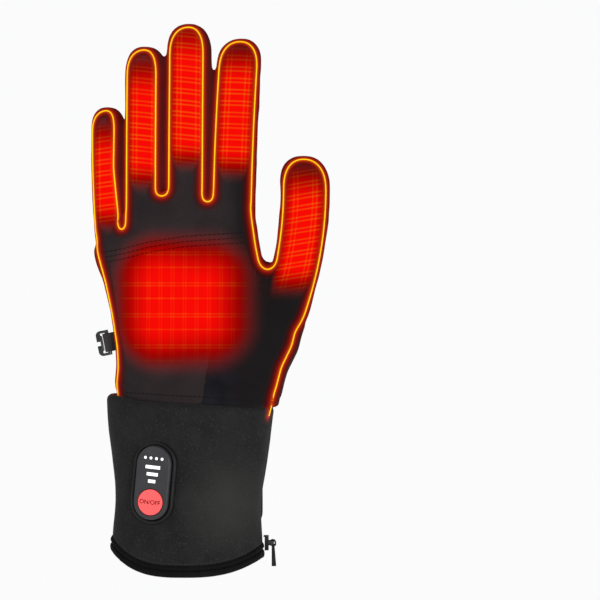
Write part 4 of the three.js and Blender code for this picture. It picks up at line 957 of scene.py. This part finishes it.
hem = sleeve(len(hem_outline), 240, hem_place)
for v in hem.verts:
    v[hem.verts.layers.float["run"]] *= 250
binding_cloth, tree, shader = clothlike(
    "binding_cloth", (0.0018, 0.0018, 0.0020), (0.0042, 0.0042, 0.0042), 1700, 0.8, 0.008, 0.09)
ribs = maths(tree, "MULTIPLY", maths(tree, "PINGPONG", maths(tree, "DIVIDE", reading(tree, "run"), 0.7), 0.5), 0.6)
bump, cloth = bump_of(shader)
tree.links.new(maths(tree, "ADD", ribs, cloth), bump.inputs["Height"])
hem_piece = finish_piece("cuff_hem_rolls", hem, [binding_cloth], "glove", "binding", ["cuff_hem"])

# Binding of the slit. A folded strip of jersey over a soft core, sewn over the slit's edge: up one side,
# round the arch and down the other.
legs = np.linspace(2.5, springing, 44)
slit_line = ([(slit_half, z) for z in legs[:-1]]
             + [(slit_half * math.cos(t), springing + slit_half * math.sin(t)) for t in np.linspace(0, math.pi, 22)]
             + [(-slit_half, z) for z in legs[::-1][1:]])
slit_points = []
for across, z in slit_line:
    point = cuff_skin(across + slit_middle, z, -1.5)
    slit_points.append(Vector((across + slit_middle, point.y, z)))
slit_binding = tube_along(slit_points, [Vector((0, 1, 0))] * len(slit_points), 2.4, 20, 3)
turned = slit_binding.verts.layers.float["turn"]
for v in slit_binding.verts:
    crease = sum(0.35 * math.exp(-(((v[turned] - at) / 0.13) ** 2)) for at in (1.05, 2.1))
    v.co.y -= crease
slit_piece = finish_piece("slit_edge_binding", slit_binding, [binding_cloth], "glove", "binding", ["slit_binding"])

# Pleat. A gusset of thin cloth behind the slit, folded into the cuff, so that it opens when the strap is let
# out. It lies on the inside of the cuff at its two edges.
pleat_folds = [(-1, 0), (-0.45, 0.45), (-0.3, 1), (0, 0.55), (0.3, 1), (0.45, 0.45), (1, 0)]
pleat_half = slit_half + 2.4 + 3
fold_line = smooth_line(pleat_folds, 0.06, 5)
pleat_top = 0.92 * springing + hem_height


def pleat_point(v):
    across, inward = fold_line[min(len(fold_line) - 1, int(round((v.co.x + 0.5) * (len(fold_line) - 1))))]
    z = 9 + (v.co.y + 0.5) * (pleat_top - 9)
    deep = 8 * (1 - 0.35 * (v.co.y + 0.5))
    point = cuff_skin(across * pleat_half + slit_middle, z, -3.35)
    sag = noise.noise(Vector((across * 3, inward, z / 13))) * 0.9 * inward
    return Vector((point.x, point.y - inward * deep - (0.9 if inward > 0.02 else 0) + sag, z))


pleat = bmesh.new()
bmesh.ops.create_grid(pleat, x_segments=len(fold_line) - 1, y_segments=60, size=0.5)
def facing_palm(bm):
    """Turns the faces of an open sheet to the palm's side."""
    bmesh.ops.recalc_face_normals(bm, faces=bm.faces)
    if sum(f.normal.y for f in bm.faces) < 0:
        bmesh.ops.reverse_faces(bm, faces=bm.faces)


for v in pleat.verts:
    v.co = pleat_point(v)
facing_palm(pleat)
pleat_area = sum(f.calc_area() for f in pleat.faces) * MM * MM
pleat_cloth = clothlike("pleat_cloth", (0.0035, 0.0035, 0.004), (0.0075, 0.0075, 0.008), 1400, 0.85, 0.02, 0.1)[0]
pleat_piece = finish_piece("slit_gusset", pleat, [pleat_cloth], "glove", "thumb_fabric", ["slit_pleat"])
walled(pleat_piece, 1.1)

# Wrist strap. A padded tab of neoprene that hugs the cuff's palm side, with a thick rolled binding round it
# and a sunk line of stitching inside the binding. Its free end is towards the thumb.
strap_width, strap_corner, strap_reach, strap_roll = 31, 7, 37.2, 2.1
strap_from = slit_middle - slit_half + 2.4 + 0.35
strap_to = strap_reach - strap_roll - 0.35


def strap_out(x):
    return 0.35 + 0.9 * ease(slit_middle + slit_half + 2.4 + 1 + 9 - x, 0, 9)


def strap_middle(x):
    return 41 + 0.07 * x


def strap_edge(x, aside):
    """How far a place on the strap is inside its edge."""
    half = strap_width / 2
    over = (x - (strap_to - strap_corner), abs(aside) - (half - strap_corner))
    if over[0] > 0 and over[1] > 0:
        return strap_corner - math.hypot(*over)
    return min(half - abs(aside), strap_to - x)


strap = bmesh.new()
bmesh.ops.create_grid(strap, x_segments=110, y_segments=54, size=0.5)
edge_gap, run = strap.verts.layers.float.new("edge_gap"), strap.verts.layers.float.new("run")
for v in strap.verts:
    x = strap_from + (v.co.x + 0.5) * (strap_to - strap_from)
    inside = max(0.0, x - (strap_to - strap_corner))
    trim = strap_corner - math.sqrt(max(0.0, strap_corner ** 2 - inside ** 2))
    aside = v.co.y * 2 * (strap_width / 2 - trim)
    gap = strap_edge(x, aside)
    sunk = 1.0 * math.exp(-(((gap - 3.6) / 0.55) ** 2)) + 0.9 * math.exp(-((gap / 1.0) ** 2))
    crown = 0.5 * ease(gap, 0, 2.2) - (0.25 if gap > 3.6 else 0.25 * ease(gap, 2.8, 3.6))
    wave = noise.noise(Vector((x / 16, aside / 12, 3))) * 0.3
    v[edge_gap], v[run] = gap, x if strap_width / 2 - abs(aside) < strap_to - x else aside
    v.co = cuff_skin(x, strap_middle(x) + aside, strap_out(x) + 1.95 + crown + wave - sunk)
facing_palm(strap)
strap_cloth, tree, shader = clothlike(
    "strap_cloth", (0.007, 0.007, 0.0075), (0.0125, 0.0125, 0.0125), 1900, 0.82, 0.04, 0.12)
where = tree.nodes.new("ShaderNodeTexCoord")
weave = tree.nodes.new("ShaderNodeTexWave")
weave.bands_direction = "DIAGONAL"
weave.inputs["Scale"].default_value = 330
weave.inputs["Distortion"].default_value = 0.6
tree.links.new(where.outputs["Object"], weave.inputs["Vector"])
bump, cloth = bump_of(shader)
height = maths(tree, "MULTIPLY_ADD", weave.outputs["Fac"], 0.55, cloth)
tree.links.new(height, bump.inputs["Height"])
thread = dashes(tree, reading(tree, "edge_gap"), reading(tree, "run"), [1.1, 3.6], 2.4)
sewn_on(tree, shader, thread, (0.024, 0.024, 0.024))
strap_piece = finish_piece("padded_strap", strap, [strap_cloth], "glove", "neoprene", ["wrist_strap"])
walled(strap_piece, 1.9)

corner, half = strap_corner + strap_roll, strap_width / 2 + strap_roll + 0.15
outline = [(x, half) for x in np.linspace(strap_from, strap_reach - corner, 50)]
outline += [(strap_reach - corner + corner * math.sin(t), half - corner + corner * math.cos(t))
            for t in np.linspace(0, math.pi / 2, 14)[1:]]
outline += [(strap_reach, a) for a in np.linspace(half - corner, 0, 12)[1:]]
outline += [(x, -a) for x, a in outline[::-1][1:]]
roll_points = [cuff_skin(x, strap_middle(x) + aside, strap_out(x) + strap_roll) for x, aside in outline]
roll_ups = []
for x, aside in outline:
    raised = cuff_skin(x, strap_middle(x) + aside, strap_out(x) + strap_roll + 3)
    roll_ups.append((raised - cuff_skin(x, strap_middle(x) + aside, strap_out(x) + strap_roll)).normalized())
strap_binding = tube_along(roll_points, roll_ups, strap_roll, 20)
roll_piece = finish_piece("strap_edge_roll", strap_binding, [binding_cloth], "glove", "binding", ["strap_binding"])

# Control pod. A pill-shaped plate of satin plastic in a soft welded rim, with a round pocket for the power
# button under three heat bars and four charge dots.
pod_width, pod_length, button_y, button_size = 19.8, 41, -10.6, 14.2
pod_left, pod_seat, pod_right = (cuff_skin(side * pod_width / 2 - 17.7, 54.6, 0, -1) for side in (-1, 0, 1))
on_pod = (Matrix.Translation(pod_seat)
          @ Matrix.Rotation(math.atan2(pod_right.y - pod_left.y, pod_right.x - pod_left.x), 4, "Z")
          @ Matrix.Rotation(math.radians(5.2), 4, "Y") @ Matrix.Rotation(math.pi / 2, 4, "X"))


def pod_rings(columns, profile):
    """Rings in the pod's frame, joined up: each has its width, the straight run between its two half rounds,
    its middle's height on the pod and its depth."""
    def place(turn, along):
        width, straight, y, z = profile[int(round(along * (len(profile) - 1)))]
        upper = 1 if round(math.sin(turn), 9) >= 0 else -1
        return on_pod @ Vector((width / 2 * math.cos(turn), y + width / 2 * math.sin(turn) + upper * straight / 2, z))
    return sleeve(columns, len(profile) - 1, place)


def rounded_edge(width, straight, y, z, radius, steps=5):
    """The rings of an outer edge rounded off by a radius, up to a face at z."""
    turns = [math.pi / 2 * (i + 1) / steps for i in range(steps)]
    return [(width - 2 * radius * (1 - math.cos(t)), straight, y, z - radius + radius * math.sin(t)) for t in turns]


def moulded(name, colour, worn, roughness, specular=0.4):
    """Plastic with a fine spark-eroded grain, paler where it is rubbed."""
    made, tree, shader = finish(name, colour, roughness, specular)
    wear_and_highlight = fade(tree, mottle(tree, 140, 3), 0.4, 0.75)
    painted(tree, shader, tint(tree, wear_and_highlight, colour, worn))
    uneven = fade(tree, mottle(tree, 500, 2), 0.2, 0.8, roughness - 0.07, roughness + 0.07)
    tree.links.new(uneven, shader.inputs["Roughness"])
    relief(tree, shader, mottle(tree, 4200, 1), 0.00004, 0.4)
    return made, tree, shader


straight = pod_length - pod_width
pod_plastic = moulded("pod_plastic", (0.027, 0.027, 0.030), (0.034, 0.034, 0.037), 0.55, 0.3)[0]
pocket = ((1.5, 3.4), (1.0, 3.36), (0.75, 3.1), (0.7, 1.8), (0.3, 1.6))  # how much wider than the button, height
plate = pod_rings(96, [(pod_width, straight, 0, z) for z in (-1.6, 0.4, 2.2)]
                  + rounded_edge(pod_width, straight, 0, 3.4, 1.1)
                  + [(pod_width - 2.6, straight, 0, 3.4)]
                  + [(button_size + w, 0, button_y, z) for w, z in pocket])
finish_piece("pod_plate", plate, [pod_plastic], "glove", "pod_plastic", ["control_pod"])

rim_rubber = moulded("rim_rubber", (0.003, 0.003, 0.0033), (0.006, 0.006, 0.0063), 0.6, 0.25)[0]
rim_section = softened([(0.05, -1.8), (0.0, 1.0), (0.7, 1.5), (1.6, 1.45), (2.3, 0.5), (2.4, -2.6)], 2)
rim_section = rim_section + rim_section[:1]
rim = pod_rings(96, [(pod_width + 0.7 + 2 * d, straight, 0, z) for d, z in rim_section])
finish_piece("pod_soft_rim", rim, [rim_rubber], "glove", "pod_rim", ["pod_rim"])

# Power button. A low red dome lit from behind, with ON/OFF printed across it in dark red.
button_red, tree, shader = moulded("button_red", (0.62, 0.055, 0.055), (0.66, 0.07, 0.07), 0.45)
glow(tree, shader, tint(tree, mottle(tree, 120, 1), (0.50, 0.052, 0.052), (0.56, 0.064, 0.064)))
button = pod_rings(96, [(button_size - 0.4, 0, button_y, 2.5), (button_size, 0, button_y, 2.7)]
                   + rounded_edge(button_size, 0, button_y, 3.78, 0.5, 4)
                   + [(w, 0, button_y, z) for w, z in ((12.3, 3.80), (9.5, 3.85), (6, 3.885), (2, 3.9))])
finish_piece("red_power_button", button, [button_red], "power_button", "button_red", ["power_button"])

print_ink, tree, shader = finish("dark_red_print", (0.05, 0.004, 0.005), 0.6, 0.1)
painted(tree, shader, tint(tree, mottle(tree, 900, 2), (0.04, 0.003, 0.004), (0.06, 0.005, 0.006)))
glow(tree, shader, tint(tree, mottle(tree, 400, 2), (0.03, 0.001, 0.002), (0.04, 0.002, 0.003)))
words = bpy.data.curves.new("words", "FONT")
words.body = "ON/OFF"
words.align_x = words.align_y = "CENTER"
words.size = 3.35
words.extrude = 0.03
words.offset = 0.045
lettering = bpy.data.objects.new("lettering", words)
studio.collection.objects.link(lettering)
bpy.context.view_layer.update()
flat_words = bpy.data.meshes.new_from_object(lettering.evaluated_get(bpy.context.evaluated_depsgraph_get()))
bpy.data.objects.remove(lettering)
printed = bmesh.new()
printed.from_mesh(flat_words)
bmesh.ops.transform(printed, matrix=on_pod @ Matrix.Translation((0, button_y, 3.91)), verts=printed.verts)
finish_piece("on_off_print", printed, [print_ink], "power_button", "button_red")

# Lamps of the pod. Four round charge windows and three bars for the heat, white and lit, a hair proud of
# the plate.
lamp_white, tree, shader = finish("lamp_white", (0.8, 0.8, 0.8), 0.4, 0.4)
glow(tree, shader, tint(tree, mottle(tree, 700, 1), (0.55, 0.55, 0.56), (0.7, 0.7, 0.7)))
painted(tree, shader, tint(tree, mottle(tree, 700, 1), (0.7, 0.7, 0.7), (0.85, 0.85, 0.85)))
dot_radius, dot_pitch, dot_turn = 0.82, 3.25, math.pi / 2 * 0.96
dots = bmesh.new()
for i in range(4):
    one = sleeve(24, 5, lambda turn, along, at=(i - 1.5) * dot_pitch: on_pod @ Vector((
        at + dot_radius * math.cos(along * dot_turn) * math.cos(turn),
        0.335 * pod_length + dot_radius * math.cos(along * dot_turn) * math.sin(turn),
        3.43 + 0.38 * math.sin(along * dot_turn))))
    loose = bpy.data.meshes.new("loose")
    one.to_mesh(loose)
    dots.from_mesh(loose)
    bpy.data.meshes.remove(loose)
finish_piece("charge_windows", dots, [lamp_white], "glove", "lamp_white",
             ["charge_dot_1", "charge_dot_2", "charge_dot_3", "charge_dot_4"])
bars = bmesh.new()
for width, up in ((0.43, 0.215), (0.33, 0.12), (0.215, 0.025)):
    size = Matrix.Diagonal((width * pod_width, 1.8, 0.4, 1))
    bmesh.ops.create_cube(bars, size=1, matrix=on_pod @ Matrix.Translation((0, up * pod_length, 3.65)) @ size)
bmesh.ops.bevel(bars, geom=bars.edges[:], offset=0.14, affect="EDGES", segments=2, profile=0.5, material=-1)
finish_piece("heat_windows", bars, [lamp_white], "glove", "lamp_white", ["heat_bar_1", "heat_bar_2", "heat_bar_3"])


# Zip slider and pull. Die-cast zinc with a black satin coat: the slider sits on the hem at the thumb's side,
# and the flat pull hangs from its bridge.
def eased_copy(node, width, segments=2):
    """A copy of a hard CAD node with its edges rounded off."""
    bm = bmesh.new()
    bm.from_mesh(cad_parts[node].data)
    bmesh.ops.scale(bm, vec=(1000, 1000, 1000), verts=bm.verts)
    bmesh.ops.remove_doubles(bm, verts=bm.verts, dist=0.01)
    bmesh.ops.dissolve_limit(bm, angle_limit=math.radians(1), verts=bm.verts, edges=bm.edges)
    sharp = [e for e in bm.edges if len(e.link_faces) == 2 and e.calc_face_angle() > math.radians(28)]
    bmesh.ops.bevel(bm, geom=sharp, offset=width, affect="EDGES", segments=segments, profile=0.5, material=-1,
                    clamp_overlap=True)
    return bm


zip_black = moulded("zip_black", (0.003, 0.003, 0.003), (0.009, 0.009, 0.009), 0.42, 0.18)[0]
finish_piece("slider_body", eased_copy("zip_slider", 0.25), [zip_black], "glove", "zip_plastic", ["zip_slider"])
pull = eased_copy("zip_pull", 0.2)
lowest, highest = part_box("zip_pull")
for v in pull.verts:
    down = (highest[2] * 1000 - v.co.z) / ((highest[2] - lowest[2]) * 1000)
    outward = 2.2 if v.co.x > 47.38 else 0.0  # moulded thicker at the grip, on the side away from the slider
    v.co.x = 47.38 + (v.co.x - 47.38) * (1 + outward * float(ease(down, 0.15, 0.45)))
    v.co.y *= 1 - 0.25 * float(ease(down, 0.15, 0.35)) + 0.35 * float(ease(down, 0.4, 0.8))
finish_piece("pull_tab", pull, [zip_black], "zip_pull", "zip_plastic", ["zip_pull"])

# Webbing tab and clip. A loop of narrow nylon webbing sewn into the little finger's side holds a moulded
# hook, so that a pair of gloves can be clipped together.
webbing, tree, shader = finish("woven_webbing", (0.009, 0.009, 0.010), 0.7, 0.3, 0.2)
where = tree.nodes.new("ShaderNodeTexCoord")
along_tab = tree.nodes.new("ShaderNodeMapping")
along_tab.inputs["Rotation"].default_value = (0, math.radians(-11), 0)
along_tab.inputs["Scale"].default_value = (1000, 1000, 1000)
tree.links.new(where.outputs["Object"], along_tab.inputs["Vector"])
axes = tree.nodes.new("ShaderNodeSeparateXYZ")
tree.links.new(along_tab.outputs["Vector"], axes.inputs["Vector"])
warp = maths(tree, "SINE", maths(tree, "MULTIPLY", axes.outputs["Z"], 2 * math.pi / 0.9))
weft = maths(tree, "SINE", maths(tree, "MULTIPLY", axes.outputs["X"], 2 * math.pi / 0.7))
woven = maths(tree, "MULTIPLY_ADD", maths(tree, "MULTIPLY", warp, weft), 0.5, 0.5)
painted(tree, shader, tint(tree, woven, (0.006, 0.006, 0.007), (0.024, 0.024, 0.026)))
relief(tree, shader, woven, 0.00025, 0.8)
finish_piece("clip_webbing", eased_copy("webbing_tab", 0.25), [webbing], "glove", "webbing", ["webbing_tab"])
clip_black = moulded("clip_black", (0.009, 0.009, 0.0095), (0.018, 0.018, 0.018), 0.33, 0.5)[0]
finish_piece("moulded_clip", eased_copy("glove_clip", 0.45, 3), [clip_black], "glove", "clip_plastic", ["glove_clip"])
